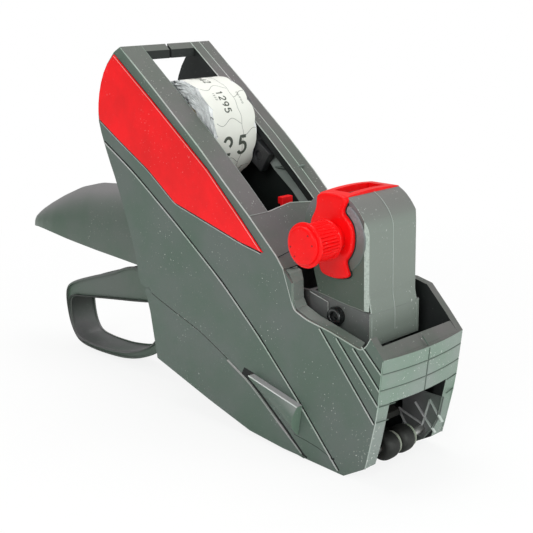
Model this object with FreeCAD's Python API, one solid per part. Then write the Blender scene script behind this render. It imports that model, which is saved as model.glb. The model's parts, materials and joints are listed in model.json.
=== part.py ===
import FreeCAD, Part

import math
import os

# Hand price labeler, in millimetres. +X points to the nose and +Z up. The object stands on z = 0 with its
# nose and its lever loop. x = 0 is the axis of the print head and y = 0 the seam between the two halves.
# The near, knob side is -Y.

# Driving dimensions
LABEL_WIDTH = 22.0
LABEL_THICK = 0.35
ROLL_RADIUS = 20.0
CORE_RADIUS = 11.5
HUB_RADIUS = 9.5
HUB_RIM = 1.6
WHEEL_COUNT = 6
WHEEL_RADIUS = 7.4
SPINDLE_RADIUS = 2.6
SHAFT_RADIUS = 1.6
INK_PIVOT_PIN = 1.2
LINK_RADIUS = 1.5
SKIN = 3.0
LAND_WIDTH = 9.0
LEG_WIDTH = 6.0
LAND_DEPTH = 3.0
RECESS_DEPTH = 1.4
GROOVE_WIDTH = 0.8
GROOVE_DEPTH = 0.4
RUN_GAP = 0.05
SIDE_GAP = 0.2
FREE_GAP = 0.3
WELD = 0.1
CORNER_CUT = 0.25

LEVER_PIVOT = (-80.0, 40.0)
ARM_PIVOT = (-93.0, 55.0)
LINK_PIN = (-60.5, 42.0)
BELLY_HINGE = (-95.6, 45.0)
INK_PIVOT = (0.0, 60.0)
KNOB_AXIS = (-0.8, 81.4)
FEED_AXIS = (-20.0, 10.5)
ROLLER_AXIS = (14.0, 7.5)
ROLL_AXIS = (-84.0, 109.0)
ROLL_ARM_END = (-64.0, 99.4)
GUIDE_AXIS = (-37.0, 28.0)
PAWL_PIVOT = (-33.0, 14.5)

# Widths, each from the one inside it, outward from the seam
PRINT_MARGIN = 4.0
WHEEL_PITCH = (LABEL_WIDTH - PRINT_MARGIN) / WHEEL_COUNT
WHEEL_WIDTH = WHEEL_PITCH - FREE_GAP
BELT_WIDTH = WHEEL_PITCH - 2 * FREE_GAP
FRAME_IN = WHEEL_COUNT * WHEEL_PITCH / 2 + SIDE_GAP
CAGE_WALL = 1.1
FRAME_EDGE = FRAME_IN + CAGE_WALL
INK_ARM_IN = FRAME_EDGE + SIDE_GAP
INK_ARM_THICK = 1.0
INK_ARM_OUT = INK_ARM_IN + INK_ARM_THICK
FRAME_OUT = INK_ARM_OUT + SIDE_GAP
HEAD_WALL = 1.8
HEAD_HALF = FRAME_OUT + HEAD_WALL
ARM_IN = FRAME_OUT + 0.1
ARM_THICK = 1.5
ARM_OUT = ARM_IN + ARM_THICK
FORK_GAP = 0.7
FORK_THICK = 2.1
FORK_IN = HEAD_HALF + FORK_GAP
FORK_OUT = FORK_IN + FORK_THICK
TONGUE_THICK = 1.7
TONGUE_IN = FORK_OUT + FREE_GAP
TONGUE_OUT = TONGUE_IN + TONGUE_THICK
SKIN_IN = TONGUE_OUT + SIDE_GAP
HALF_WIDTH = SKIN_IN + SKIN
PIN_END = TONGUE_OUT - FREE_GAP
LAND_IN = HALF_WIDTH - LAND_WIDTH
LEG_IN = HALF_WIDTH - LEG_WIDTH
ROLL_GAP = 1.0
ROLL_ARM_THICK = 2.5
ROLL_ARM_IN = LABEL_WIDTH / 2 + ROLL_GAP
ROLL_ARM_OUT = ROLL_ARM_IN + ROLL_ARM_THICK
RATCHET_IN = LABEL_WIDTH / 2 + ROLL_GAP
RATCHET_THICK = 2.0
RATCHET_OUT = RATCHET_IN + RATCHET_THICK

# Side outline of the housing, as (x, z)
BRIDGE_TOP = (-104.0, 141.6)
BRIDGE_FRONT = (-101.4, 139.4)
LAND_RISE = [(-83.9, 126.1), (-60.3, 107.4), (-45.2, 94.4)]
DECK_REAR = (-34.9, 85.1)
DECK_FOLD = (-22.2, 72.8)
DECK_FRONT = (-18.8, 68.6)
MOUTH_REAR = (-14.8, 64.2)
SADDLE = [(-13.0, 62.0), (6.3, 62.0), (12.8, 60.6), (20.7, 52.4)]
NOSE_TOP = (26.3, 46.2)
NOSE_FRONT = [(24.3, 30.0), (20.5, 13.0), (18.2, 5.4)]
NOSE_TOE = (9.0, 0.0)
SOLE_REAR = (-9.5, 0.6)
BELLY_LINE = [(-21.5, 11.7), (-33.4, 20.6), (-53.1, 30.5), (-64.4, 35.8), (-88.2, 43.5)]
BELLY_REAR = (-97.5, 47.0)
REAR_EDGE = [(-101.0, 48.4), (-102.2, 58.1), (-105.7, 69.1), (-112.4, 87.3), (-117.6, 98.1)]
HIP = (-122.3, 110.2)
SHOULDER = [(-122.4, 116.0), (-120.6, 125.0), (-116.2, 133.2), (-109.6, 139.4)]
KNOB_NOTCH = [
    (-14.7, 57.0), (-13.6, 54.8), (-7.7, 52.6), (3.0, 50.8), (16.5, 47.4), (18.8, 49.2), (20.7, 52.4),
]
BELLY_SOLE = [(-94.8, 37.0), (-91.6, 18.2), (-60.0, 8.7), (-37.8, 2.7), (-20.0, 1.0), (-13.0, 0.8)]

V = FreeCAD.Vector
Y_AXIS = V(0, 1, 0)
BIG = 400.0
CORNER_SHARE = 0.45


def circle_join(before, corner, after, radius):
    """The two tangent points of a corner and its arc's middle, or the bare corner where it has no radius."""
    c = V(corner[0], 0, corner[1])
    a = V(before[0], 0, before[1]) - c
    b = V(after[0], 0, after[1]) - c
    turn = a.getAngle(b)
    if radius <= 0 or turn > math.pi - 0.02:
        return [c]
    reach = min(radius / math.tan(turn / 2), CORNER_SHARE * a.Length, CORNER_SHARE * b.Length)
    used = reach * math.tan(turn / 2)
    a.normalize()
    b.normalize()
    middle = a + b
    middle.normalize()
    centre = c + middle * (used / math.sin(turn / 2))
    return [c + a * reach, centre - middle * used, c + b * reach]


def outline(points, radius=0.0):
    """A closed face in the XZ plane through the points, with its corners rounded."""
    edges = []
    ends = []
    count = len(points)
    for i, corner in enumerate(points):
        ends.append(circle_join(points[i - 1], corner, points[(i + 1) % count], radius))
    for i, end in enumerate(ends):
        if len(end) == 3:
            edges.append(Part.Arc(*end).toShape())
        start_next = ends[(i + 1) % count][0]
        if end[-1].distanceToPoint(start_next) > 1e-6:
            edges.append(Part.makeLine(end[-1], start_next))
    return Part.Face(Part.Wire(edges))


def outward(solid):
    """The same solid with its faces turned outward."""
    return solid if solid.Volume > 0 else solid.reversed()


def plate(points, y0, y1, radius=0.0):
    """A flat plate with an XZ outline, from y0 to y1."""
    face = outline(points, radius)
    face.translate(V(0, y0, 0))
    return outward(face.extrude(V(0, y1 - y0, 0)))


def rod(centre, radius, y0, y1):
    """A cylinder along Y about an (x, z) centre."""
    return Part.makeCylinder(radius, y1 - y0, V(centre[0], y0, centre[1]), Y_AXIS)


def tube(centre, outer, inner, y0, y1):
    return rod(centre, outer, y0, y1).cut(rod(centre, inner, y0 - 1, y1 + 1))


def block(x0, x1, y0, y1, z0, z1):
    return Part.makeBox(x1 - x0, y1 - y0, z1 - z0, V(x0, y0, z0))


def bar(start, end, width, y0, y1):
    """A round-ended flat link between two (x, z) points."""
    dx = end[0] - start[0]
    dz = end[1] - start[1]
    span = math.hypot(dx, dz)
    nx = -dz / span * width / 2
    nz = dx / span * width / 2
    corners = [
        (start[0] + nx, start[1] + nz),
        (start[0] - nx, start[1] - nz),
        (end[0] - nx, end[1] - nz),
        (end[0] + nx, end[1] + nz),
    ]
    link = plate(corners, y0, y1)
    return link.fuse([rod(start, width / 2, y0, y1), rod(end, width / 2, y0, y1)]).removeSplitter()


def strip(points, depth, y0, y1):
    """A band under an open line of points, with its depth measured square to the line."""
    under = []
    for i, p in enumerate(points):
        a = points[max(i - 1, 0)]
        b = points[min(i + 1, len(points) - 1)]
        span = math.hypot(b[0] - a[0], b[1] - a[1])
        under.append((p[0] - (a[1] - b[1]) / span * depth, p[1] - (b[0] - a[0]) / span * depth))
    return plate(points + under[::-1], y0, y1)


def eased(points):
    """The same open line with its corners cut off at a share of each side, which rounds it."""
    line = [points[0]]
    for a, b in zip(points, points[1:]):
        for share in (CORNER_CUT, 1 - CORNER_CUT):
            line.append((a[0] + (b[0] - a[0]) * share, a[1] + (b[1] - a[1]) * share))
    return line + [points[-1]]


def mirrored(shape):
    return shape.mirror(V(0, 0, 0), Y_AXIS)


def both(shape):
    """A shape and its mirror image across the seam, as a list."""
    return [shape, mirrored(shape)]


def joined(shapes):
    whole = shapes[0].fuse(shapes[1:]) if len(shapes) > 1 else shapes[0]
    return whole.removeSplitter()


def turned(shape, centre, degrees):
    """A copy turned about +Y at an (x, z) centre."""
    copy = shape.copy()
    copy.rotate(V(centre[0], 0, centre[1]), Y_AXIS, degrees)
    return copy


def save(name, shape):
    solids = shape.Solids
    if not solids or not shape.isValid():
        print("check this piece:", name, len(solids), shape.isValid())
    shape.exportStep(os.path.join("parts", name + ".step"))
    box = shape.BoundBox
    print(f"{name}: {len(solids)} solid, {shape.Volume / 1000:.2f} cm3,"
          f" x {box.XMin:.1f} {box.XMax:.1f} y {box.YMin:.1f} {box.YMax:.1f} z {box.ZMin:.1f} {box.ZMax:.1f}")


# Housing halves and what is fixed in them

BRIDGE_FOOT = 136.1
BRIDGE_SLIT = 0.5
DECK_THICK = 2.5
DECK_INNER = (-36.2, 86.3)
FRONT_WALL = 3.3
FRONT_BOW = 2.2
RIM_FLARE = 1.1
RIM_DROP = 4.0
LEG_DEPTH = 4.0
REAR_WALL = 2.5
REAR_TOP = (-119.4, 103.0)
LEVER_DOOR_TOP = 60.0
LEVER_DOOR_HALF = 9.0
PANEL_THICK = 2.0
PANEL_EDGE = [
    (-87.7, 122.7), (-56.6, 99.3), (-39.3, 83.3), (-28.4, 72.8), (-39.4, 74.8),
    (-60.8, 80.5), (-75.9, 84.5), (-91.4, 95.5), (-109.6, 105.6),
]
PANEL_REAR = [(-121.2, 112.4), (-121.9, 116.5), (-119.9, 125.2), (-115.6, 133.2), (-109.4, 138.6)]
BODY_GROOVE = [
    (-119.0, 104.1), (-101.4, 94.2), (-76.7, 77.5), (-50.7, 58.7), (-31.0, 41.5), (-10.6, 21.0), (7.1, 1.6),
]
NOSE_STEPS = [
    ((17.6, 49.4), (25.8, 41.7)),
    ((13.7, 47.9), (25.2, 35.6)),
    ((6.4, 49.7), (24.5, 30.1)),
    ((-1.2, 51.3), (23.0, 23.4)),
]
TONGUE_TOP = [(-12.0, 14.5), (-24.0, 24.5), (-36.0, 32.0), (-56.0, 43.0), (-80.0, 51.0), (-98.0, 52.5)]
TONGUE_FOOT = [(-92.0, 41.0), (-88.6, 20.6), (-60.0, 12.6), (-40.0, 6.6), (-20.0, 4.0), (-10.5, 3.4)]
HINGE_LUG = 2.6
KNUCKLE = 1.9
HINGE_PIN = 1.0
SCREW_PLACES = [(-112.0, 101.0), (-97.5, 73.0), (18.2, 41.5)]
BOSS_RADIUS = 3.0
SCREW_RADIUS = 1.4
SCREW_HEAD = 2.6
SCREW_SINK = 2.0
SOCKET_SHARE = 0.6
LEVER_PIN = 2.5
ARM_PIN = 2.0
FEED_PIN = 1.6
ROLLER_PIN = 1.5
GUIDE_RADIUS = 2.0
PAWL_PIN = 1.2
BED_TOP = 16.2
BED_SLOPE = 0.18
BED_MIDDLE = -5.4
BED_REAR = -13.0
BED_FRONT = 6.5
BED_THICK = 2.0
BED_HALF = LABEL_WIDTH / 2 + 0.5
SOLE_X = (-8.0, 4.0)
SOLE_THICK = 1.2
AXLE_BOSS = 2.0
TONGUE_TUCK = 1.0
BED_TAB_INSET = 4.0
SPRING_X = -51.4
SPRING_RADIUS = 5.0
SPRING_WIRE = 1.2
SPRING_FOOT = 12.8
SPRING_TOP = 33.0
SEAT_THICK = 2.5


def side_points(saddle):
    rear = eased([BELLY_REAR] + REAR_EDGE + [HIP] + SHOULDER)
    front = [NOSE_TOP] + NOSE_FRONT + [NOSE_TOE, SOLE_REAR]
    top = [BRIDGE_TOP] + LAND_RISE + [DECK_REAR, DECK_FOLD, DECK_FRONT, MOUTH_REAR]
    return top + saddle + front + BELLY_LINE + rear


def panel_points():
    return PANEL_EDGE + eased(PANEL_REAR)


def rim():
    """The rim that flares outward along the top and fades out at both ends, lofted through cross-sections."""
    stations = [(SHOULDER[-1], 0.0), (BRIDGE_TOP, RIM_FLARE)]
    stations += [(place, RIM_FLARE) for place in LAND_RISE]
    stations += [(DECK_REAR, RIM_FLARE / 2), (DECK_FOLD, 0.0)]
    sections = []
    for (x, z), flare in stations:
        corners = [(SKIN_IN, z - RIM_DROP), (HALF_WIDTH, z - RIM_DROP), (HALF_WIDTH + flare, z), (SKIN_IN, z)]
        sections.append(Part.makePolygon([V(x, p[0], p[1]) for p in corners + corners[:1]]))
    return outward(Part.makeLoft(sections, True, True))


def nose_wall():
    """The bowed front wall over the window, leaning forward as it rises."""
    foot = NOSE_FRONT[0]
    rear = foot[0] - FRONT_WALL
    low = foot[1]
    arc = Part.Arc(V(foot[0], -HALF_WIDTH, low), V(foot[0] + FRONT_BOW, 0, low), V(foot[0], HALF_WIDTH, low))
    corners = [V(foot[0], HALF_WIDTH, low), V(rear, HALF_WIDTH, low), V(rear, -HALF_WIDTH, low)]
    edges = [arc.toShape(), Part.makePolygon(corners + [V(foot[0], -HALF_WIDTH, low)])]
    wire = Part.Wire([edges[0]] + edges[1].Edges)
    wall = outward(Part.Face(wire).extrude(V(NOSE_TOP[0] - foot[0], 0, NOSE_TOP[1] - foot[1])))
    near_top = (NOSE_TOP[0] - FRONT_WALL, NOSE_TOP[1] + FRONT_WALL)
    return wall.fuse(plate([NOSE_TOP, near_top, (near_top[0], NOSE_TOP[1])], -HALF_WIDTH, HALF_WIDTH))


def deck():
    """The short roof ahead of the label bay, with a shallow vee for its rear edge."""
    roof = strip([DECK_INNER, DECK_REAR, DECK_FOLD, DECK_FRONT], DECK_THICK, 0, SKIN_IN + WELD)
    vee = Part.Face(Part.makePolygon([
        V(DECK_INNER[0], 0, 0), V(DECK_REAR[0], LAND_IN, 0), V(DECK_INNER[0] - DECK_THICK, LAND_IN, 0),
        V(DECK_INNER[0] - DECK_THICK, 0, 0), V(DECK_INNER[0], 0, 0),
    ])).extrude(V(0, 0, BIG))
    return roof.cut(outward(vee))


def rear_wall():
    line = REAR_EDGE + [REAR_TOP]
    wall = strip(line, REAR_WALL, 0, SKIN_IN + WELD)
    door = block(-BIG, 0, -1, LEVER_DOOR_HALF, 0, LEVER_DOOR_TOP)
    return wall.cut(door)


def tongue():
    """The inner cheek that runs down inside the belly cover and carries the pins."""
    cheek = plate(TONGUE_TOP + TONGUE_FOOT, TONGUE_IN, TONGUE_OUT)
    lug = rod(BELLY_HINGE, HINGE_LUG, TONGUE_IN, TONGUE_OUT)
    tucked = [(p[0], p[1] + TONGUE_TUCK) for p in reversed(BELLY_LINE)]
    shelf = plate(TONGUE_TOP + tucked, TONGUE_IN, SKIN_IN + WELD)
    return [cheek, lug, shelf]


def pin_bores():
    holes = [(LEVER_PIVOT, LEVER_PIN), (ARM_PIVOT, ARM_PIN), (FEED_AXIS, FEED_PIN), (GUIDE_AXIS, GUIDE_RADIUS)]
    cutters = [rod(centre, radius, -PIN_END, PIN_END) for centre, radius in holes]
    cutters.append(rod(ROLLER_AXIS, ROLLER_PIN, -PIN_END, PIN_END))
    cutters.append(rod(PAWL_PIVOT, PAWL_PIN, 0, PIN_END))
    cutters += both(rod(BELLY_HINGE, HINGE_PIN, TONGUE_IN - 1, TONGUE_OUT + 1))
    return cutters


def bed_line(x, rise):
    """A point on the print bed's slope, raised by a small amount."""
    return (x, BED_TOP - (x - BED_MIDDLE) * BED_SLOPE + rise)


def bed_points(rise):
    return [bed_line(BED_REAR, rise), bed_line(BED_FRONT, rise)]


def tab_points():
    """The outline of the tabs that hold the bed in both cheeks."""
    rear = BED_REAR + BED_TAB_INSET
    front = BED_FRONT - BED_TAB_INSET
    return [bed_line(rear, -BED_THICK), bed_line(front, -BED_THICK), bed_line(front, 0), bed_line(rear, 0)]


def housing_half(side, saddle):
    """One moulded half; side is +1 for the far half and -1 for the near one."""
    points = side_points(saddle)
    skin = plate(points, SKIN_IN, HALF_WIDTH)
    land = strip([BRIDGE_TOP] + LAND_RISE + [DECK_REAR], LAND_DEPTH, LAND_IN, SKIN_IN + WELD)
    bridge = plate([
        BRIDGE_TOP, BRIDGE_FRONT, (BRIDGE_FRONT[0], BRIDGE_FOOT), (BRIDGE_TOP[0], BRIDGE_FOOT),
    ], BRIDGE_SLIT, SKIN_IN + WELD)
    leg = strip(NOSE_FRONT + [NOSE_TOE], LEG_DEPTH, LEG_IN, SKIN_IN + WELD)
    half = joined([skin, rim(), land, bridge, deck(), leg.common(skin_slab(points)), rear_wall()] + tongue())
    front = nose_wall().common(block(-BIG, BIG, 0, HALF_WIDTH, 0, BIG))
    half = joined([half, front] + [rod(p, BOSS_RADIUS, 0, SKIN_IN + WELD) for p in SCREW_PLACES])
    half = half.fuse(rod(ROLLER_AXIS, ROLLER_PIN + AXLE_BOSS, TONGUE_IN - 1.0, SKIN_IN + WELD))
    cuts = [plate(panel_points(), HALF_WIDTH - RECESS_DEPTH, HALF_WIDTH + RIM_FLARE)]
    cuts.append(strip(BODY_GROOVE, GROOVE_WIDTH, HALF_WIDTH - GROOVE_DEPTH, HALF_WIDTH + 1))
    for upper, lower in NOSE_STEPS:
        cuts.append(strip([upper, lower], GROOVE_WIDTH, HALF_WIDTH - GROOVE_DEPTH, HALF_WIDTH + 1))
    screw_end = BIG if side > 0 else SKIN_IN
    cuts += [rod(p, SCREW_RADIUS, -1, screw_end) for p in SCREW_PLACES]
    cuts.append(rod(BELLY_HINGE, KNUCKLE + SIDE_GAP, SKIN_IN - RUN_GAP, HALF_WIDTH + 1))
    cuts.append(plate(tab_points(), TONGUE_IN - 1, TONGUE_OUT))
    cuts.append(rod(ROLL_AXIS, HUB_RADIUS + HUB_RIM + FREE_GAP, LAND_IN - 1, ROLL_ARM_OUT + SIDE_GAP))
    if side > 0:
        cuts += [rod(p, SCREW_HEAD + RUN_GAP, HALF_WIDTH - SCREW_SINK, HALF_WIDTH + 1) for p in SCREW_PLACES]
    half = half.cut(cuts)
    if side < 0:
        half = mirrored(half)
    return half.cut(pin_bores()).removeSplitter()


def skin_slab(points):
    return plate(points, 0, HALF_WIDTH)


def side_panel():
    return plate(panel_points(), HALF_WIDTH - RECESS_DEPTH, HALF_WIDTH - RECESS_DEPTH + PANEL_THICK)


def sole_tie():
    """The flat cross plate that ties both halves at the sole, behind the nose roller."""
    return block(SOLE_X[0], SOLE_X[1], -SKIN_IN, SKIN_IN, 0, SOLE_THICK)


def housing_screws():
    """Three long screws from the far side into the near half."""
    made = []
    for p in SCREW_PLACES:
        shank = rod(p, SCREW_RADIUS, -SKIN_IN, HALF_WIDTH - SCREW_SINK)
        head = rod(p, SCREW_HEAD, HALF_WIDTH - SCREW_SINK, HALF_WIDTH - FREE_GAP)
        socket = rod(p, SCREW_RADIUS * SOCKET_SHARE, HALF_WIDTH - SCREW_SINK * SOCKET_SHARE, HALF_WIDTH)
        made.append(shank.fuse(head).cut(socket).removeSplitter())
    return Part.makeCompound(made)


# Grip, hand lever and belly cover

GRIP_SECTIONS = [
    (-99.0, 86.0, 68.0, 13.0), (-142.4, 80.5, 67.5, 12.0), (-171.1, 75.4, 64.5, 10.6), (-209.6, 58.0, 55.0, 8.6),
]
GRIP_SIDE = [
    (-101.3, 50.8), (-102.2, 58.1), (-105.7, 69.1), (-112.4, 87.3), (-142.4, 86.0), (-171.1, 80.0),
    (-190.0, 67.6), (-204.3, 60.3), (-209.6, 53.6), (-206.0, 52.4), (-193.4, 55.4), (-168.1, 54.3),
    (-137.7, 52.8), (-118.0, 50.9),
]
GRIP_HOLLOW = [
    (-99.0, 40.0), (-99.0, 80.0), (-118.0, 79.5), (-142.4, 77.0), (-171.1, 71.8), (-188.0, 65.0), (-196.0, 58.0),
    (-197.0, 40.0),
]
GRIP_FOOT = 45.0
LEVER_HALF = 6.6
GRIP_HOLLOW_HALF = LEVER_HALF + 0.8
LOOP_ROUND = 5.0
LOOP_INNER_ROUND = 4.0
SPIGOT_DROP = 3.0
SPIGOT_RADIUS = SPRING_RADIUS - SPRING_WIRE - 0.4
EAR_DROP = 3.0
LEVER_OUTER = [
    (-98.0, 46.6), (-118.0, 48.6), (-131.5, 45.8), (-147.0, 40.8), (-162.7, 35.6), (-175.6, 31.6), (-181.6, 25.5),
    (-180.6, 17.0), (-176.5, 4.6), (-168.0, 0.0), (-148.0, 0.0), (-122.9, 5.0), (-106.0, 14.0), (-99.0, 24.0),
    (-92.0, 36.0), (-90.0, 43.5),
]
LEVER_OPENING = [
    (-112.0, 33.6), (-134.5, 30.3), (-154.8, 27.4), (-172.6, 24.7), (-175.6, 19.0), (-172.8, 9.4), (-165.8, 6.3),
    (-144.8, 7.0), (-130.1, 9.0), (-112.0, 17.5), (-108.0, 26.0),
]
LEVER_TUBE = 4.5
NECK_FOOT = (-94.0, 32.5)
FORK_REACH = -46.0
FORK_HEIGHT = 7.0
CROSS_BAR = (-53.3, -49.5, SPRING_TOP, 37.0)
COVER_FLOOR = 2.0
COVER_REAR = 2.2
COVER_REAR_TOP = (-95.6, 40.0)
COVER_DOOR = (-80.0, 30.0)
PIN_TAIL = 1.0
LATCH_TOP = [(-12.4, 8.6), (-9.4, 21.0), (-22.5, 23.8), (-36.0, 27.6)]
LATCH_FOOT = [(-38.6, 24.6), (-32.9, 21.3), (-21.1, 12.7)]
LATCH_RISE = 5.0
LATCH_THIN = 1.0
LATCH_CLEAR = 0.1
LATCH_LEVEL = 4.0


def grip_section(x, top, crease, half):
    """One cross-section of the handle: straight flanks and a rounded back."""
    rise = top - crease
    shoulder = (0.5 * half, top - 0.08 * rise)
    swell = (0.87 * half, crease + 0.62 * rise)
    back = Part.Arc(V(x, shoulder[0], shoulder[1]), V(x, 0, top), V(x, -shoulder[0], shoulder[1])).toShape()
    flanks = []
    for side in (1, -1):
        low = V(x, side * half, crease)
        middle = V(x, side * swell[0], swell[1])
        flanks.append(Part.Arc(low, middle, V(x, side * shoulder[0], shoulder[1])).toShape())
    foot = [V(x, -half, GRIP_FOOT), V(x, half, GRIP_FOOT)]
    rest = Part.makePolygon([V(x, -half, crease)] + foot + [V(x, half, crease)])
    return Part.Wire(Part.sortEdges([back] + flanks + rest.Edges)[0])


def grip():
    """The saddle-shaped rear handle, open underneath for the lever."""
    body = outward(Part.makeLoft([grip_section(*s) for s in GRIP_SECTIONS], True, True))
    body = body.common(plate(GRIP_SIDE, -HALF_WIDTH, HALF_WIDTH))
    return body.cut(plate(GRIP_HOLLOW, -GRIP_HOLLOW_HALF, GRIP_HOLLOW_HALF)).removeSplitter()


def hand_lever():
    """The squeeze loop, its pivot tube and the fork that works the print arm."""
    loop = plate(LEVER_OUTER, -LEVER_HALF, LEVER_HALF, LOOP_ROUND)
    loop = loop.cut(plate(LEVER_OPENING, -LEVER_HALF - 1, LEVER_HALF + 1, LOOP_INNER_ROUND))
    hub_top = (LEVER_PIVOT[0], LEVER_PIVOT[1] + LEVER_TUBE)
    hub_foot = (LEVER_PIVOT[0], LEVER_PIVOT[1] - LEVER_TUBE)
    neck = plate([LEVER_OUTER[0], hub_top, hub_foot, NECK_FOOT], -LEVER_HALF, LEVER_HALF)
    hub = rod(LEVER_PIVOT, LEVER_TUBE, -FORK_OUT, FORK_OUT)
    arm = bar(LEVER_PIVOT, (FORK_REACH - FORK_HEIGHT / 2, LINK_PIN[1] - FORK_HEIGHT / 2), FORK_HEIGHT,
              FORK_IN, FORK_OUT)
    cross = block(CROSS_BAR[0], CROSS_BAR[1], -FORK_OUT, FORK_OUT, CROSS_BAR[2], CROSS_BAR[3])
    ear = bar(LINK_PIN, (LINK_PIN[0], LINK_PIN[1] - EAR_DROP), FORK_HEIGHT, FORK_IN, FORK_OUT)
    whole = joined([loop, neck, hub, cross] + both(arm) + both(ear))
    spigot = Part.makeCylinder(SPIGOT_RADIUS, SPIGOT_DROP, V(SPRING_X, 0, CROSS_BAR[2] - SPIGOT_DROP))
    whole = whole.fuse(spigot)
    pins = both(rod(LINK_PIN, LINK_RADIUS, FORK_IN - 1, FORK_OUT + 1))
    return whole.cut([rod(LEVER_PIVOT, LEVER_PIN + RUN_GAP, -HALF_WIDTH, HALF_WIDTH)] + pins).removeSplitter()


def link_pins():
    return Part.makeCompound(both(rod(LINK_PIN, LINK_RADIUS, ARM_IN + WELD, FORK_OUT)))


def hinge_pins():
    return Part.makeCompound(both(rod(BELLY_HINGE, HINGE_PIN, TONGUE_IN, HALF_WIDTH - PIN_TAIL)))


def lowered(points, gap):
    """A line of points moved square to itself, down and away from the housing."""
    moved = []
    for i, p in enumerate(points):
        a = points[max(i - 1, 0)]
        b = points[min(i + 1, len(points) - 1)]
        span = math.hypot(b[0] - a[0], b[1] - a[1])
        moved.append((p[0] + (b[1] - a[1]) / span * gap, p[1] - (b[0] - a[0]) / span * gap))
    return moved


def belly_cover():
    """The trough that closes the underside; it swings down about its rear hinge."""
    upper = lowered([BELLY_REAR] + BELLY_LINE[::-1] + [SOLE_REAR], FREE_GAP)
    edge = upper + BELLY_SOLE[::-1]
    cheek = plate(edge, SKIN_IN, HALF_WIDTH)
    corner = block(-BIG, BELLY_HINGE[0] + KNUCKLE + 2 * SIDE_GAP, 0, BIG, BELLY_HINGE[1], BIG)
    knuckle = rod(BELLY_HINGE, KNUCKLE, SKIN_IN, HALF_WIDTH)
    cheek = cheek.cut(corner).fuse(knuckle)
    sole = strip(BELLY_SOLE[1:], -COVER_FLOOR, 0, SKIN_IN + WELD)
    back = strip([BELLY_SOLE[1], BELLY_SOLE[0], COVER_REAR_TOP], COVER_REAR, LEVER_DOOR_HALF, SKIN_IN + WELD)
    sole = sole.cut(block(-BIG, COVER_DOOR[0], -1, LEVER_DOOR_HALF, 0, COVER_DOOR[1]))
    side = joined([cheek, sole, back])
    side = side.cut(rod(BELLY_HINGE, HINGE_PIN + RUN_GAP, SKIN_IN - 1, HALF_WIDTH - PIN_TAIL + WELD))
    return joined(both(side))


def latch():
    """The wedge-shaped thumb slide on the cover's flank, thicker at its front."""
    base = HALF_WIDTH + LATCH_CLEAR
    wedge = plate(LATCH_TOP + LATCH_FOOT, base, base + LATCH_RISE)
    front = LATCH_TOP[1][0] + LATCH_LEVEL
    high = base + LATCH_RISE + 2 * FREE_GAP
    rear = LATCH_FOOT[0][0]
    slope = Part.Face(Part.makePolygon([
        V(front, high, 0), V(rear, base + LATCH_THIN, 0), V(rear, base + BIG, 0), V(front, base + BIG, 0),
        V(front, high, 0),
    ])).extrude(V(0, 0, BIG))
    return wedge.cut(outward(slope)).removeSplitter()


# Print arm, print head and its type

FOOT_TOP = [(-13.6, 60.5), (13.3, 57.0)]
FOOT_BOTTOM = 45.0
ARM_LINE = [
    (-97.5, 60.0), (-60.0, 59.0), (-14.0, 60.2), (-14.0, 49.0), (-54.0, 49.0), (-54.0, 36.5),
    (-66.0, 36.5), (-66.0, 50.0), (-92.0, 50.2), (-97.5, 51.5),
]
LINK_SLOT = (-62.4, -56.1)
ARM_CROSS = (-82.0, 56.4)
ARM_CROSS_RADIUS = 2.0
HEAD_SIDE = [(-9.4, 60.2), (-12.0, 69.3), (-16.3, 86.0), (-12.2, 93.0), (-8.6, 95.4), (3.5, 95.4), (6.4, 93.8),
             (10.1, 90.1), (12.3, 86.0), (12.3, 57.4), (3.9, 58.3)]
HEAD_BEVEL = 1.3
COVER_TOP_SLOT = (-8.6, 3.6)
WINDOW = (-6.2, 1.0)
WINDOW_HALF = 9.0
LENS_THICK = 0.8
SLIDER_TOP = 96.4
CROWN_EDGE = SLIDER_TOP - 0.8
LENS_FOOT = SLIDER_TOP - 3.0
SLOT_FLOOR = LENS_FOOT + 2 * FREE_GAP
LENS_GAP = 0.1
COLLAR_OUT = HEAD_HALF + 2.0
COLLAR = [(-8.2, 95.0), (-9.5, 89.3), (-12.0, 86.6), (-11.2, 78.0), (-7.7, 70.9), (-5.1, 68.0), (2.2, 67.4),
          (5.4, 68.8), (5.8, 70.2), (3.9, 74.7), (7.5, 81.3), (5.4, 87.2), (3.1, 89.7), (4.9, 94.9)]
BELT_TOP = (KNOB_AXIS[0], KNOB_AXIS[1])
BELT_FOOT = (0.0, 36.5)
BELT_IN = 7.7
BELT_OUT = 8.7
BELT_LOW_IN = 2.5
BELT_LOW_OUT = 3.5
HEAD_SCREW = (-2.0, 53.4)
HEAD_SCREW_RADIUS = 1.6
HEAD_SCREW_HEAD = 2.9
SCREW_SEAT = 0.6
SCREW_PROUD = 0.7
HEX_RADIUS = 1.3
SLOT_PLAY = 0.4
ARM_BOSS = 2.4
REAR_TIE = (-15.6, -13.6, 54.0, 60.0)
FRONT_TIE_THICK = 1.6
FRONT_TIE_TOP = 56.6
CHEEK = [(-10.0, 88.0), (9.0, 88.0), (10.2, 62.0), (11.4, 56.0), (11.4, 46.0), (-12.0, 46.0), (-12.0, 58.0),
         (-7.6, 59.4), (-7.6, 61.5), (-9.8, 70.0)]
CHEEK_FOOT = [(-4.0, 46.0), (4.0, 46.0), (2.9, 35.0), (-2.9, 35.0)]
CAGE_TIE = (-11.8, -10.4, 50.0, 57.8)
COVER_MOUTH = 62.0
WINDOW_FLOOR = 80.0
NOTCH_COUNT = 10
NOTCH_RADIUS = 0.6


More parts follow.
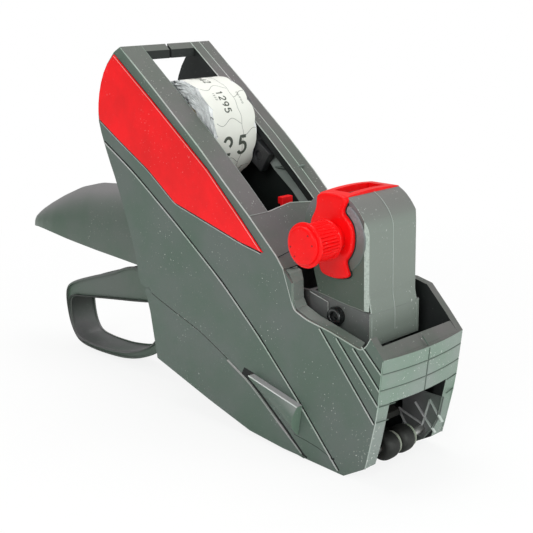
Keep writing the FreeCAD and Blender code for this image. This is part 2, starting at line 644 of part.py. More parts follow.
def print_arm():
    """Two long side bars with drop plates, joined behind the head and by a cross rod."""
    side = plate(ARM_LINE, ARM_IN, ARM_OUT)
    front = plate(FOOT_TOP + [(FOOT_TOP[1][0], FOOT_BOTTOM), (FOOT_TOP[0][0], FOOT_BOTTOM)], ARM_IN, ARM_OUT)
    slot_half = LINK_RADIUS + SLOT_PLAY
    slot = block(LINK_SLOT[0], LINK_SLOT[1], 0, BIG, LINK_PIN[1] - slot_half, LINK_PIN[1] + slot_half)
    screw = rod(HEAD_SCREW, HEAD_SCREW_RADIUS, 0, BIG)
    sink = rod(HEAD_SCREW, HEAD_SCREW_HEAD + FREE_GAP, ARM_OUT - SCREW_SEAT, BIG)
    side = joined([side, front]).cut([slot, screw, sink])
    rear_tie = block(REAR_TIE[0], REAR_TIE[1], -ARM_OUT, ARM_OUT, REAR_TIE[2], REAR_TIE[3])
    tie_front = FOOT_TOP[1][0]
    front_tie = block(tie_front - FRONT_TIE_THICK, tie_front, -ARM_OUT, ARM_OUT, FOOT_BOTTOM, FRONT_TIE_TOP)
    cross = rod(ARM_CROSS, ARM_CROSS_RADIUS, -ARM_OUT, ARM_OUT)
    bosses = both(rod(ARM_PIVOT, ARM_PIN + ARM_BOSS, ARM_IN, FORK_OUT))
    bore = rod(ARM_PIVOT, ARM_PIN + RUN_GAP, -HALF_WIDTH, HALF_WIDTH)
    return joined(both(side) + [rear_tie, front_tie, cross] + bosses).cut(bore).removeSplitter()


def head_frame():
    """The inner cage: two cheeks that hold the shafts, tied at the foot."""
    cheek = plate(CHEEK, FRAME_IN, FRAME_EDGE)
    lower = plate(CHEEK_FOOT, FRAME_IN, FRAME_EDGE)
    axes = [(KNOB_AXIS, SPINDLE_RADIUS), (INK_PIVOT, INK_PIVOT_PIN), (BELT_FOOT, BELT_LOW_IN)]
    holes = [rod(centre, radius, 0, BIG) for centre, radius in axes]
    side = joined([cheek, lower]).cut(holes)
    tie = block(CAGE_TIE[0], CAGE_TIE[1], -FRAME_EDGE, FRAME_EDGE, CAGE_TIE[2], CAGE_TIE[3])
    return joined(both(side) + [tie])


def type_foot():
    """The bar that the bands turn round at the bottom of the head."""
    return rod(BELT_FOOT, BELT_LOW_IN, -FRAME_EDGE, FRAME_EDGE)


def wheel_spindle():
    """The hollow spindle between the cheeks that all number wheels turn on."""
    return tube(KNOB_AXIS, SPINDLE_RADIUS, SHAFT_RADIUS + RUN_GAP, -FRAME_EDGE, FRAME_EDGE)


def head_cover(side):
    """One moulded half of the head's cover, open underneath."""
    shell = plate(HEAD_SIDE, 0, HEAD_HALF)
    inner = plate(inset(HEAD_SIDE, HEAD_WALL), -1, FRAME_OUT)
    mouth = block(-BIG, BIG, -1, FRAME_OUT, 0, COVER_MOUTH)
    slot = block(COVER_TOP_SLOT[0], COVER_TOP_SLOT[1], -1, BIG, SLOT_FLOOR, BIG)
    window = block(WINDOW[0] - FREE_GAP, WINDOW[1] + FREE_GAP, -1, WINDOW_HALF, WINDOW_FLOOR, BIG)
    bore = rod(KNOB_AXIS, SHAFT_RADIUS + FREE_GAP, 0, BIG)
    half = shell.cut([inner, mouth, slot, window, bore])
    front = HEAD_SIDE[9][0] + WELD
    side_out = HEAD_HALF + WELD
    front_edge = Part.Face(Part.makePolygon([
        V(front, HEAD_HALF - HEAD_BEVEL, 0), V(front, side_out, 0), V(HEAD_SIDE[9][0] - HEAD_BEVEL, side_out, 0),
        V(front, HEAD_HALF - HEAD_BEVEL, 0),
    ])).extrude(V(0, 0, BIG))
    half = half.cut(outward(front_edge)).removeSplitter()
    return half if side > 0 else mirrored(half)


def inset(points, gap):
    """A convex outline moved inward by an equal gap; the points run clockwise or not."""
    count = len(points)
    area = sum(points[i - 1][0] * points[i][1] - points[i][0] * points[i - 1][1] for i in range(count))
    hand = 1 if area > 0 else -1
    moved = []
    for i, p in enumerate(points):
        a = points[i - 1]
        b = points[(i + 1) % count]
        u = unit(a, p)
        w = unit(p, b)
        nx = -(u[1] + w[1]) * hand
        nz = (u[0] + w[0]) * hand
        scale = gap / (1 + u[0] * w[0] + u[1] * w[1])
        moved.append((p[0] + nx * scale, p[1] + nz * scale))
    return moved


def unit(a, b):
    span = math.hypot(b[0] - a[0], b[1] - a[1])
    return ((b[0] - a[0]) / span, (b[1] - a[1]) / span)


def selector_cover():
    """The red top strip with its reading slot, and the collar round the knob."""
    wide = HEAD_HALF
    crown = Part.Arc(V(0, -wide, CROWN_EDGE), V(0, 0, SLIDER_TOP), V(0, wide, CROWN_EDGE)).toShape()
    corners = [V(0, wide, CROWN_EDGE), V(0, wide, SLOT_FLOOR), V(0, -wide, SLOT_FLOOR), V(0, -wide, CROWN_EDGE)]
    face = Part.Face(Part.Wire([crown] + Part.makePolygon(corners).Edges))
    face.translate(V(COVER_TOP_SLOT[0] + LENS_GAP, 0, 0))
    top = outward(face.extrude(V(COVER_TOP_SLOT[1] - COVER_TOP_SLOT[0] - 2 * LENS_GAP, 0, 0)))
    top = top.cut(block(WINDOW[0], WINDOW[1], -WINDOW_HALF, WINDOW_HALF, 0, BIG))
    collar = plate(COLLAR, -COLLAR_OUT, -HEAD_HALF)
    bore = rod(KNOB_AXIS, SHAFT_RADIUS + FREE_GAP, -BIG, 0)
    return joined([top, collar]).cut(bore).removeSplitter()


def window_lens():
    """The clear strip under the reading slot."""
    half = WINDOW_HALF - LENS_GAP
    return block(WINDOW[0] + LENS_GAP, WINDOW[1] - LENS_GAP, -half, half, LENS_FOOT, LENS_FOOT + LENS_THICK)


def band(y):
    """One closed type band, from the number wheel down to the foot bar."""
    outer = belt(BELT_OUT, BELT_LOW_OUT)
    inner = belt(BELT_IN, BELT_LOW_IN)
    ring = outer.cut(inner)
    face = ring.copy()
    face.translate(V(0, y - BELT_WIDTH / 2, 0))
    return outward(face.extrude(V(0, BELT_WIDTH, 0)))


def belt(top, low):
    """The face inside an open belt round two pulleys of unequal radius."""
    ax, az = BELT_TOP
    bx, bz = BELT_FOOT
    span = math.hypot(bx - ax, bz - az)
    lean = math.atan2(bx - ax, az - bz)
    swing = math.asin((top - low) / span)
    edges = []
    ends = {}
    for side in (1, -1):
        angle = side * swing + lean
        nx = side * math.cos(angle)
        nz = side * math.sin(angle)
        ends[side] = (V(ax + nx * top, 0, az + nz * top), V(bx + nx * low, 0, bz + nz * low))
        edges.append(Part.makeLine(ends[side][0], ends[side][1]))
    crest = V(ax - math.sin(lean) * top, 0, az + math.cos(lean) * top)
    root = V(bx + math.sin(lean) * low, 0, bz - math.cos(lean) * low)
    edges.append(Part.Arc(ends[1][0], crest, ends[-1][0]).toShape())
    edges.append(Part.Arc(ends[1][1], root, ends[-1][1]).toShape())
    return Part.Face(Part.Wire(Part.sortEdges(edges)[0]))


def wheel_places():
    first = -(WHEEL_COUNT - 1) / 2 * WHEEL_PITCH
    return [first + i * WHEEL_PITCH for i in range(WHEEL_COUNT)]


def type_bands():
    return Part.makeCompound([band(y) for y in wheel_places()])


def digit_wheel(y):
    """A toothed wheel that carries one type band on the selector shaft."""
    half = WHEEL_WIDTH / 2
    wheel = tube(KNOB_AXIS, WHEEL_RADIUS, SPINDLE_RADIUS + RUN_GAP, y - half, y + half)
    notches = []
    for i in range(NOTCH_COUNT):
        angle = 2 * math.pi * i / NOTCH_COUNT
        place = (KNOB_AXIS[0] + math.sin(angle) * WHEEL_RADIUS, KNOB_AXIS[1] + math.cos(angle) * WHEEL_RADIUS)
        notches.append(rod(place, NOTCH_RADIUS, y - half - 1, y + half + 1))
    return wheel.cut(notches)


def head_screws():
    """A socket-head screw at each side, through the arm's front plate into the cage."""
    shank = rod(HEAD_SCREW, HEAD_SCREW_RADIUS, ARM_IN, ARM_OUT - SCREW_SEAT)
    head = rod(HEAD_SCREW, HEAD_SCREW_HEAD, ARM_OUT - SCREW_SEAT, ARM_OUT + SCREW_PROUD)
    socket = prism(HEAD_SCREW, HEX_RADIUS, 6, ARM_OUT - SCREW_SEAT + SIDE_GAP, ARM_OUT + 1)
    made = both(shank.fuse(head).cut(socket).removeSplitter())
    return Part.makeCompound(made)


def prism(centre, radius, sides, y0, y1):
    points = []
    for i in range(sides):
        angle = 2 * math.pi * i / sides
        points.append((centre[0] + radius * math.cos(angle), centre[1] + radius * math.sin(angle)))
    return plate(points, y0, y1)


# Selector, ink, labels and feed

KNOB_INNER = -COLLAR_OUT - FREE_GAP
KNOB_LONG = 15.2
KNOB_FACE = KNOB_INNER - KNOB_LONG
KNOB_RADIUS = 7.3
KNOB_FLANGE = 7.7
FLANGE_LONG = 2.0
FACE_RISE = 0.6
FACE_INSET = 1.2
DISH_INSET = 2.2
DIMPLE_REACH = 3.4
DIMPLE_RADIUS = 0.6
DIMPLE_DEPTH = 1.0
DIMPLE_COUNT = 4
KNOB_WEB = 4.0
KNOB_FLUTES = 40
FLUTE_SHARE = 0.45
SHAFT_IN = FRAME_EDGE + 0.9
SHAFT_GROOVE = (SHAFT_IN - 3.0, SHAFT_IN - 1.6)
SHAFT_GROOVE_DEPTH = 0.4
POINTER_Y = 6.6
POINTER_HALF = (1.3, 0.8)
SHOE_HALF = 3.0
TIP_HIGH = 1.2
SHOE_THICK = 0.8
SHOE_TOP = LENS_FOOT - SIDE_GAP - TIP_HIGH
SHOE_FOOT = SHOE_TOP - SHOE_THICK
INK_RADIUS = 4.0
INK_CENTRE = (0.0, 28.7)
INK_HALF = FRAME_IN - 0.5
INK_PIN = 1.0
INK_ARM_WIDE = 3.6
ROLL_ARM_WIDTH = 6.5
HUB_IN = 5.0
HUB_WALL = 1.8
HUB_FLOOR = 1.2
HUB_END = ROLL_ARM_IN - SIDE_GAP
BRACKET_HALF = 4.4
BRACKET_STEP = 0.8
BRACKET_TILT = 35.0
FEED_RADIUS = 6.0
FEED_HALF = 10.0
FEED_TEETH = 12
WAIST_HALF = 2.0
WAIST_DEPTH = 1.2
NECK_WALL = 1.4
RATCHET_RADIUS = 6.7
TOOTH_DEPTH = 1.3
TOOTH_SHARE = 0.9
PAWL_TIP = (-26.6, 14.2)
PAWL_TOP = 1.6
PAWL_FOOT = 1.2
PAWL_POINT = 0.7
PAWL_WALL = 1.4
ROLLER_RADIUS = 6.0
ROLLER_HALF = 9.0
ROLLER_NECK = 0.4
NECK_DEPTH = 1.0
WEB_CLEAR = 0.6
WEB_OFF = 0.4
ROLL_WRAP = (197.0, 221.0, 12.0)
WEB_WRAP = (221.0, 252.0, 15.5)
FEED_WRAP = (20.0, -90.0, 22.0)
PEEL_LINE = [(-14.5, 0.4), (7.1, 0.3), (7.5, -1.2), (6.1, -2.6)]
WEB_END = (-41.0, 7.4)
BED_ROUND = 0.6
GUIDE_LEG = (-41.8, -40.5)
GUIDE_LIP = 1.2
GUIDE_Y = (0.5, 6.0)
GUIDE_TOP = 87.6
GUIDE_LIP_FOOT = 85.0
GUIDE_CROSS = (64.0, 69.0)
SPRING_TURNS = 6
SPRING_END_GAP = 0.3
SEAT_MARGIN = 0.5
PAWL_PIN_OUT = 0.6


def knurled(centre, radius, flutes, y0, y1):
    """A cylinder with shallow flutes round it."""
    body = rod(centre, radius, y0, y1)
    depth = math.pi * radius / flutes * FLUTE_SHARE
    cuts = []
    for i in range(flutes):
        angle = 2 * math.pi * i / flutes
        place = (centre[0] + radius * math.cos(angle), centre[1] + radius * math.sin(angle))
        cuts.append(rod(place, depth, y0 - 1, y1 + 1))
    return body.cut(cuts)


def selector_knob():
    """The red fluted knob with its flange and a raised ring on its face."""
    rim = KNOB_FACE + FACE_RISE
    grip_part = knurled(KNOB_AXIS, KNOB_RADIUS, KNOB_FLUTES, rim + FLANGE_LONG, KNOB_INNER)
    flange = rod(KNOB_AXIS, KNOB_FLANGE, rim, rim + FLANGE_LONG)
    face = rod(KNOB_AXIS, KNOB_RADIUS - FACE_INSET, KNOB_FACE, rim)
    cuts = [rod(KNOB_AXIS, KNOB_RADIUS - DISH_INSET, KNOB_FACE - 1, rim)]
    for i in range(DIMPLE_COUNT):
        angle = 2 * math.pi * (i + 0.5) / DIMPLE_COUNT
        place = (KNOB_AXIS[0] + DIMPLE_REACH * math.cos(angle), KNOB_AXIS[1] + DIMPLE_REACH * math.sin(angle))
        cuts.append(rod(place, DIMPLE_RADIUS, KNOB_FACE, KNOB_FACE + DIMPLE_DEPTH))
    cuts.append(rod(KNOB_AXIS, SHAFT_RADIUS, KNOB_FACE + KNOB_WEB, 0))
    return joined([grip_part, flange, face]).cut(cuts).removeSplitter()


def selector_shaft():
    """The shaft that picks one number wheel at a time, grooved where the pointer rides."""
    shaft = rod(KNOB_AXIS, SHAFT_RADIUS, KNOB_FACE + KNOB_WEB, SHAFT_IN)
    groove_floor = SHAFT_RADIUS - SHAFT_GROOVE_DEPTH
    groove = tube(KNOB_AXIS, SHAFT_RADIUS + 1, groove_floor, SHAFT_GROOVE[0], SHAFT_GROOVE[1])
    return shaft.cut(groove)


def selector_pointer():
    """The white pointer that slides under the reading slot as the knob is drawn out."""
    half_x, half_y = POINTER_HALF
    middle = (WINDOW[0] + WINDOW[1]) / 2
    y0, y1 = (POINTER_Y - half_y, POINTER_Y + half_y)
    shoe = block(middle - SHOE_HALF, middle + SHOE_HALF, y0, y1, SHOE_FOOT, SHOE_TOP)
    tip = block(middle - half_x, middle + half_x, y0, y1, SHOE_TOP, LENS_FOOT - SIDE_GAP)
    return joined([shoe, tip])


def ink_pivot_pins():
    return Part.makeCompound(both(rod(INK_PIVOT, INK_PIVOT_PIN, FRAME_IN, FRAME_OUT)))


def ink_arm():
    """Two hanging arms tied by a bar, with the roller between their ends."""
    arm = bar(INK_PIVOT, INK_CENTRE, INK_ARM_WIDE, INK_ARM_IN, INK_ARM_OUT)
    pin = rod(INK_CENTRE, INK_PIN, -INK_ARM_OUT, INK_ARM_OUT)
    bore = rod(INK_PIVOT, INK_PIVOT_PIN + RUN_GAP, 0, BIG)
    arm = arm.cut(bore)
    return joined(both(arm) + [pin])


def ink_roller():
    return tube(INK_CENTRE, INK_RADIUS, INK_PIN + RUN_GAP, -INK_HALF, INK_HALF)


def label_roll():
    """The wound label strip on its core."""
    return tube(ROLL_AXIS, ROLL_RADIUS, CORE_RADIUS, -LABEL_WIDTH / 2, LABEL_WIDTH / 2)


def roll_core():
    return tube(ROLL_AXIS, CORE_RADIUS, HUB_RADIUS + 2 * RUN_GAP, -LABEL_WIDTH / 2, LABEL_WIDTH / 2)


def roll_hub(side):
    """A cupped stub at each side that the core turns on, and its arm down to the cross pin."""
    stub = rod(ROLL_AXIS, HUB_RADIUS, HUB_IN, ROLL_ARM_IN + WELD)
    stub = stub.cut(rod(ROLL_AXIS, HUB_RADIUS - HUB_WALL, HUB_IN - 1, ROLL_ARM_IN - HUB_FLOOR))
    flange = rod(ROLL_AXIS, HUB_RADIUS + HUB_RIM, HUB_END, ROLL_ARM_OUT)
    arm = bar(ROLL_AXIS, ROLL_ARM_END, ROLL_ARM_WIDTH, ROLL_ARM_IN, ROLL_ARM_OUT)
    x, z = ROLL_ARM_END
    end = block(x - BRACKET_HALF, x + BRACKET_HALF, ROLL_ARM_IN - BRACKET_STEP, ROLL_ARM_OUT,
                z - BRACKET_HALF, z + BRACKET_HALF)
    end = turned(end, ROLL_ARM_END, BRACKET_TILT)
    whole = joined([stub, flange, arm, end]).cut(rod(ROLL_ARM_END, ARM_PIN, 0, BIG)).removeSplitter()
    return whole if side > 0 else mirrored(whole)


def roll_arm_pins():
    """The stub pins that carry both roll arms from the housing walls."""
    return Part.makeCompound(both(rod(ROLL_ARM_END, ARM_PIN, ROLL_ARM_IN, SKIN_IN)))


def round_points(centre, radius, first, last, step):
    """Points along an arc about an (x, z) centre, between two angles in degrees."""
    count = max(1, round(abs(last - first) / step))
    angles = [math.radians(first + (last - first) * i / count) for i in range(count + 1)]
    return [(centre[0] + radius * math.cos(a), centre[1] + radius * math.sin(a)) for a in angles]


def web_points():
    """The strip's path as (x, z) points: roll, guide pin, bed, peel edge, feed wheel and out."""
    start = round_points(ROLL_AXIS, ROLL_RADIUS + WEB_OFF, *ROLL_WRAP)
    guide = round_points(GUIDE_AXIS, GUIDE_RADIUS + WEB_CLEAR, *WEB_WRAP)
    peel = [bed_line(x, rise) for x, rise in PEEL_LINE]
    feed = round_points(FEED_AXIS, FEED_RADIUS + WEB_CLEAR, *FEED_WRAP)
    return start + guide + peel + feed + [WEB_END]


def label_web():
    """The label strip between roll and nose, with its waste run back past the feed wheel."""
    path = web_points()
    ribbon = []
    for a, b in zip(path, path[1:]):
        ribbon.append(bar(a, b, LABEL_THICK, -LABEL_WIDTH / 2, LABEL_WIDTH / 2))
    return joined(ribbon)


def print_bed():
    """The sloping platen whose front edge peels each label off its strip."""
    low = bed_points(-BED_THICK)
    high = bed_points(0)
    plate_part = plate(low + high[::-1], -BED_HALF, BED_HALF, BED_ROUND)
    return joined([plate_part, plate(tab_points(), -TONGUE_OUT, TONGUE_OUT)])


def label_guide():
    """The small red guide that peeps out behind the deck and steers the strip."""
    rear, front = GUIDE_LEG
    lip = block(rear - GUIDE_LIP, front, GUIDE_Y[0], GUIDE_Y[1], GUIDE_LIP_FOOT, GUIDE_TOP)
    leg = block(rear, front, GUIDE_Y[0], GUIDE_Y[1], GUIDE_CROSS[0], GUIDE_TOP)
    cross = block(rear, front, -SKIN_IN, SKIN_IN, GUIDE_CROSS[0], GUIDE_CROSS[1])
    return joined([lip, leg, cross])


def feed_wheel():
    """The sprocket that pulls the waste strip, with its ratchet disc."""
    wheel = rod(FEED_AXIS, FEED_RADIUS, -FEED_HALF, FEED_HALF)
    waist = tube(FEED_AXIS, FEED_RADIUS + 1, FEED_RADIUS - WAIST_DEPTH, -WAIST_HALF, WAIST_HALF)
    neck = rod(FEED_AXIS, FEED_PIN + NECK_WALL, FEED_HALF - 1, RATCHET_IN + 1)
    points = []
    step = 2 * math.pi / FEED_TEETH
    for i in range(FEED_TEETH):
        tip = (i * step, RATCHET_RADIUS)
        root = ((i + TOOTH_SHARE) * step, RATCHET_RADIUS - TOOTH_DEPTH)
        for angle, reach in (tip, root):
            points.append((FEED_AXIS[0] + reach * math.cos(angle), FEED_AXIS[1] + reach * math.sin(angle)))
    disc = plate(points, RATCHET_IN, RATCHET_OUT)
    bore = rod(FEED_AXIS, FEED_PIN + RUN_GAP, -BIG / 2, BIG)
    return joined([wheel.cut(waist), neck, disc]).cut(bore).removeSplitter()


def feed_pawl():
    """The click that holds the feed wheel between strokes."""
    x, z = PAWL_PIVOT
    tip_x, tip_z = PAWL_TIP
    boss = rod(PAWL_PIVOT, PAWL_PIN + PAWL_WALL, RATCHET_IN, RATCHET_OUT)
    corners = [(x, z + PAWL_TOP), (x, z - PAWL_FOOT), (tip_x, tip_z - PAWL_POINT), (tip_x, tip_z + PAWL_POINT)]
    finger = plate(corners, RATCHET_IN, RATCHET_OUT)
    return joined([boss, finger]).cut(rod(PAWL_PIVOT, PAWL_PIN + RUN_GAP, 0, BIG)).removeSplitter()


def application_roller():
    """The soft roller at the nose: two barrels on one core."""
    made = []
    for y0, y1 in ((-ROLLER_HALF, -ROLLER_NECK), (ROLLER_NECK, ROLLER_HALF)):
        made.append(rod(ROLLER_AXIS, ROLLER_RADIUS, y0, y1))
    made.append(rod(ROLLER_AXIS, ROLLER_RADIUS - NECK_DEPTH, -ROLLER_NECK, ROLLER_NECK))
    return joined(made).cut(rod(ROLLER_AXIS, ROLLER_PIN + RUN_GAP, -BIG, BIG)).removeSplitter()


def return_spring():
    """A compression spring as one wire: a helix of true turns between the lever and its seat."""
    height = SPRING_TOP - SPRING_FOOT - SPRING_WIRE - 2 * SPRING_END_GAP
    pitch = height / SPRING_TURNS
    middle = SPRING_RADIUS - SPRING_WIRE / 2
    gap = pitch - SPRING_WIRE
    print(f"return spring: {SPRING_TURNS} turns, {gap:.2f} mm between neighbouring wires")
    helix = Part.makeHelix(pitch, height, middle)
    start = V(middle, 0, 0)
    profile = Part.Wire(Part.makeCircle(SPRING_WIRE / 2, start, V(0, 1, 0)))
    coil = Part.Wire(helix).makePipeShell([profile], True, True)
    coil = outward(coil)
    coil.translate(V(SPRING_X, 0, SPRING_FOOT + SPRING_WIRE / 2 + SPRING_END_GAP))
    return coil


def spring_seat():
    """The cross bar that the spring stands on, with a short spigot."""
    half = SPRING_RADIUS + SEAT_MARGIN
    foot = SPRING_FOOT - SEAT_THICK
    seat = block(SPRING_X - half, SPRING_X + half, -TONGUE_IN, TONGUE_IN, foot, SPRING_FOOT)
    spigot = Part.makeCylinder(SPIGOT_RADIUS, SEAT_THICK + SPIGOT_DROP, V(SPRING_X, 0, foot))
    return joined([seat, spigot])


PARTS = {
    "housing_right_half": housing_half(-1, KNOB_NOTCH),
    "housing_left_half": housing_half(1, SADDLE),
    "side_panel_right": mirrored(side_panel()),
    "side_panel_left": side_panel(),
    "grip": grip(),
    "housing_screws": housing_screws(),
    "sole_tie": sole_tie(),
    "print_bed": print_bed(),
    "roller_axle": rod(ROLLER_AXIS, ROLLER_PIN, -PIN_END, PIN_END),
    "lever_pivot_pin": rod(LEVER_PIVOT, LEVER_PIN, -PIN_END, PIN_END),
    "arm_pivot_pin": rod(ARM_PIVOT, ARM_PIN, -PIN_END, PIN_END),
    "feed_axle": rod(FEED_AXIS, FEED_PIN, -PIN_END, PIN_END),
    "guide_pin": rod(GUIDE_AXIS, GUIDE_RADIUS, -PIN_END, PIN_END),
    "pawl_pin": rod(PAWL_PIVOT, PAWL_PIN, RATCHET_IN - PAWL_PIN_OUT, PIN_END),
    "roll_hub_right": roll_hub(-1),
    "roll_hub_left": roll_hub(1),
    "roll_arm_pins": roll_arm_pins(),
    "label_guide": label_guide(),
    "label_web": label_web(),
    "spring_seat": spring_seat(),
    "return_spring": return_spring(),
    "belly_hinge_pins": hinge_pins(),
    "hand_lever": hand_lever(),
    "link_pins": link_pins(),
    "print_arm": print_arm(),
    "head_frame": head_frame(),
    "head_cover_right": head_cover(-1),
    "head_cover_left": head_cover(1),
    "selector_cover": selector_cover(),
    "window_lens": window_lens(),
    "type_bands": type_bands(),
    "type_foot": type_foot(),
    "wheel_spindle": wheel_spindle(),
    "head_screws": head_screws(),
    "ink_pivot_pins": ink_pivot_pins(),
    "selector_pointer": selector_pointer(),
    "selector_knob": selector_knob(),
    "selector_shaft": selector_shaft(),
    "ink_arm": ink_arm(),
    "ink_roller": ink_roller(),
    "label_roll": label_roll(),
    "roll_core": roll_core(),
    "feed_wheel": feed_wheel(),
    "feed_pawl": feed_pawl(),
    "application_roller": application_roller(),
    "belly_cover": belly_cover(),
    "latch_right": mirrored(latch()),
    "latch_left": latch(),
}
for number, y in enumerate(wheel_places(), 1):
    PARTS[f"digit_wheel_{number}"] = digit_wheel(y)

os.makedirs("parts", exist_ok=True)
for name, shape in PARTS.items():
    save(name, shape)
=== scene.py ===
# %% [markdown]
# # A hand price labeler
# This lesson dresses a packed mechanical model of a price labeler: a grey moulded body with red panels, a
# squeeze lever, a swinging print head and a roll of labels. The mechanical model is the fixed frame. Its
# pieces keep their places and joints, and the steps below give each one its surface and its finish.

# %% Load the frame
import json
import math

import bmesh
import bpy
import numpy as np
from mathutils import Matrix, Vector


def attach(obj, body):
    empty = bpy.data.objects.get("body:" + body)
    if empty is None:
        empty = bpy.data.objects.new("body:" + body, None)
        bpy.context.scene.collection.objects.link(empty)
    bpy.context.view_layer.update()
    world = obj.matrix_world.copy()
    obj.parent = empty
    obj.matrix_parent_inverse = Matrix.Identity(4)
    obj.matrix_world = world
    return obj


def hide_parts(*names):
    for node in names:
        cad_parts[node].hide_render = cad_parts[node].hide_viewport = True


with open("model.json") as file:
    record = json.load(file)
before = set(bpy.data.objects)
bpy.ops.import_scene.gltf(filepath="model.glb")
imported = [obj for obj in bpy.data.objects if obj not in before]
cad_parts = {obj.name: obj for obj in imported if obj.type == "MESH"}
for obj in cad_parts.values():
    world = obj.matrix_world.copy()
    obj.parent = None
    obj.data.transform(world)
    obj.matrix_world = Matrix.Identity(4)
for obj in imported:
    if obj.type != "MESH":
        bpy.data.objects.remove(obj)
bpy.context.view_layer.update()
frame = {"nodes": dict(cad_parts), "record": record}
nodes = frame["nodes"]
MM = 0.001
print("nodes in the frame:", len(nodes))

# %% [markdown]
# ## Shader maths as expressions
# A finish is a small formula of noise, masks and mixes. Written node by node it is hard to read, so a thin
# wrapper lets a formula be written as Python: `1 - mask * 0.3` adds the Math nodes for it.


# %% A socket that can be calculated with
class Value:
    """One output socket; +, - and * with a number or another Value add a Math node."""

    def __init__(self, finish, socket):
        self.finish = finish
        self.socket = socket

    def math(self, operation, *others):
        """A Math node of this operation with this value as its first input."""
        return self.finish.node("ShaderNodeMath", {"operation": operation}, [self, *others])

    def __add__(self, other):
        return self.math("ADD", other)

    __radd__ = __add__

    def __sub__(self, other):
        return self.math("SUBTRACT", other)

    def __rsub__(self, other):
        return self.finish.node("ShaderNodeMath", {"operation": "SUBTRACT"}, [other, self])

    def __mul__(self, other):
        return self.math("MULTIPLY", other)

    __rmul__ = __mul__

    def clamp(self):
        """The value held between 0 and 1."""
        return self.finish.node("ShaderNodeClamp", {}, [self])

    def above(self, low, high):
        """0 below low, 1 above high, and a smooth step between them."""
        span = {"Value": self, "From Min": low, "From Max": high}
        return self.finish.node("ShaderNodeMapRange", {"interpolation_type": "SMOOTHSTEP"}, span)


class Finish:
    """A material and its nodes; node() is the one way to add a node."""

    def __init__(self, name):
        self.material = bpy.data.materials.new(name)
        self.material.use_nodes = True
        self.tree = self.material.node_tree
        self.shader = self.tree.nodes["Principled BSDF"]
        self.place = self.node("ShaderNodeTexCoord", {}, {}, out="Object")

    def node(self, kind, settings, values, out=0):
        """Add a node of a kind, make its settings, then fill its sockets with numbers or links."""
        made = self.tree.nodes.new(kind)
        for key, setting in settings.items():
            setattr(made, key, setting)
        pairs = values.items() if isinstance(values, dict) else enumerate(values)
        for key, value in pairs:
            self.fill(made.inputs[key], value)
        return Value(self, made.outputs[out])

    def fill(self, socket, value):
        """Link a Value to a socket, or write a number or a colour into it."""
        if isinstance(value, Value):
            self.tree.links.new(value.socket, socket)
        elif socket.type == "RGBA":
            socket.default_value = (*value, 1.0)
        else:
            socket.default_value = value

    def set(self, **sockets):
        """Fill sockets of the main shader; Base_Color stands for Base Color."""
        for key, value in sockets.items():
            self.fill(self.shader.inputs[key.replace("_", " ")], value)

    def noise(self, scale, detail=3.0, rough=0.5, stretch=(1.0, 1.0, 1.0)):
        """Noise of the object's place with its middle at 0.5; stretch multiplies the place first."""
        place = self.node("ShaderNodeMapping", {}, {"Vector": self.place, "Scale": stretch})
        values = {"Vector": place, "Scale": scale, "Detail": detail, "Roughness": rough}
        return self.node("ShaderNodeTexNoise", {}, values)

    def along(self, axis):
        """One coordinate of the object, in metres."""
        return self.node("ShaderNodeSeparateXYZ", {}, [self.place], out=axis)

    def turned_to(self, axis):
        """The normal's part along an axis of the object: 1 facing it, 0 square to it, -1 facing away."""
        facing = self.node("ShaderNodeTexCoord", {}, {}, out="Normal")
        return self.node("ShaderNodeSeparateXYZ", {}, [facing], out=axis)

    def mix(self, factor, first, second):
        """The first colour where the factor is 0, the second where it is 1."""
        return self.node("ShaderNodeMix", {"data_type": "RGBA"}, {0: factor, 6: first, 7: second}, out=2)

    def bump(self, height, strength, distance):
        """A normal bent by the slope of a height; distance is the depth of a full step in metres."""
        values = {"Height": height, "Strength": strength, "Distance": distance}
        return self.node("ShaderNodeBump", {}, values)


def scaled(colour, *factors):
    """A colour times one factor, or times one factor for each channel, with 1 as the most."""
    return tuple(min(1.0, c * k) for c, k in zip(colour, factors * (3 // len(factors))))


print("shader helpers ready")

# %% [markdown]
# ## The body's moulded plastic
# The shell is mid-grey ABS with a fine spark-eroded grain. Years of use have put pale dust specks on it and
# have rubbed some places smoother. The grain is a high-frequency noise used as bump, the specks are the top
# few percent of a finer noise, and a broad noise shifts the tone slightly so no panel is one flat colour.


# %% Moulded plastic finishes
DUST = (0.75, 0.75, 0.73)
GRAIN_DEPTH = 0.0002
HEAD_SHOULDER = (0.083, 0.094)


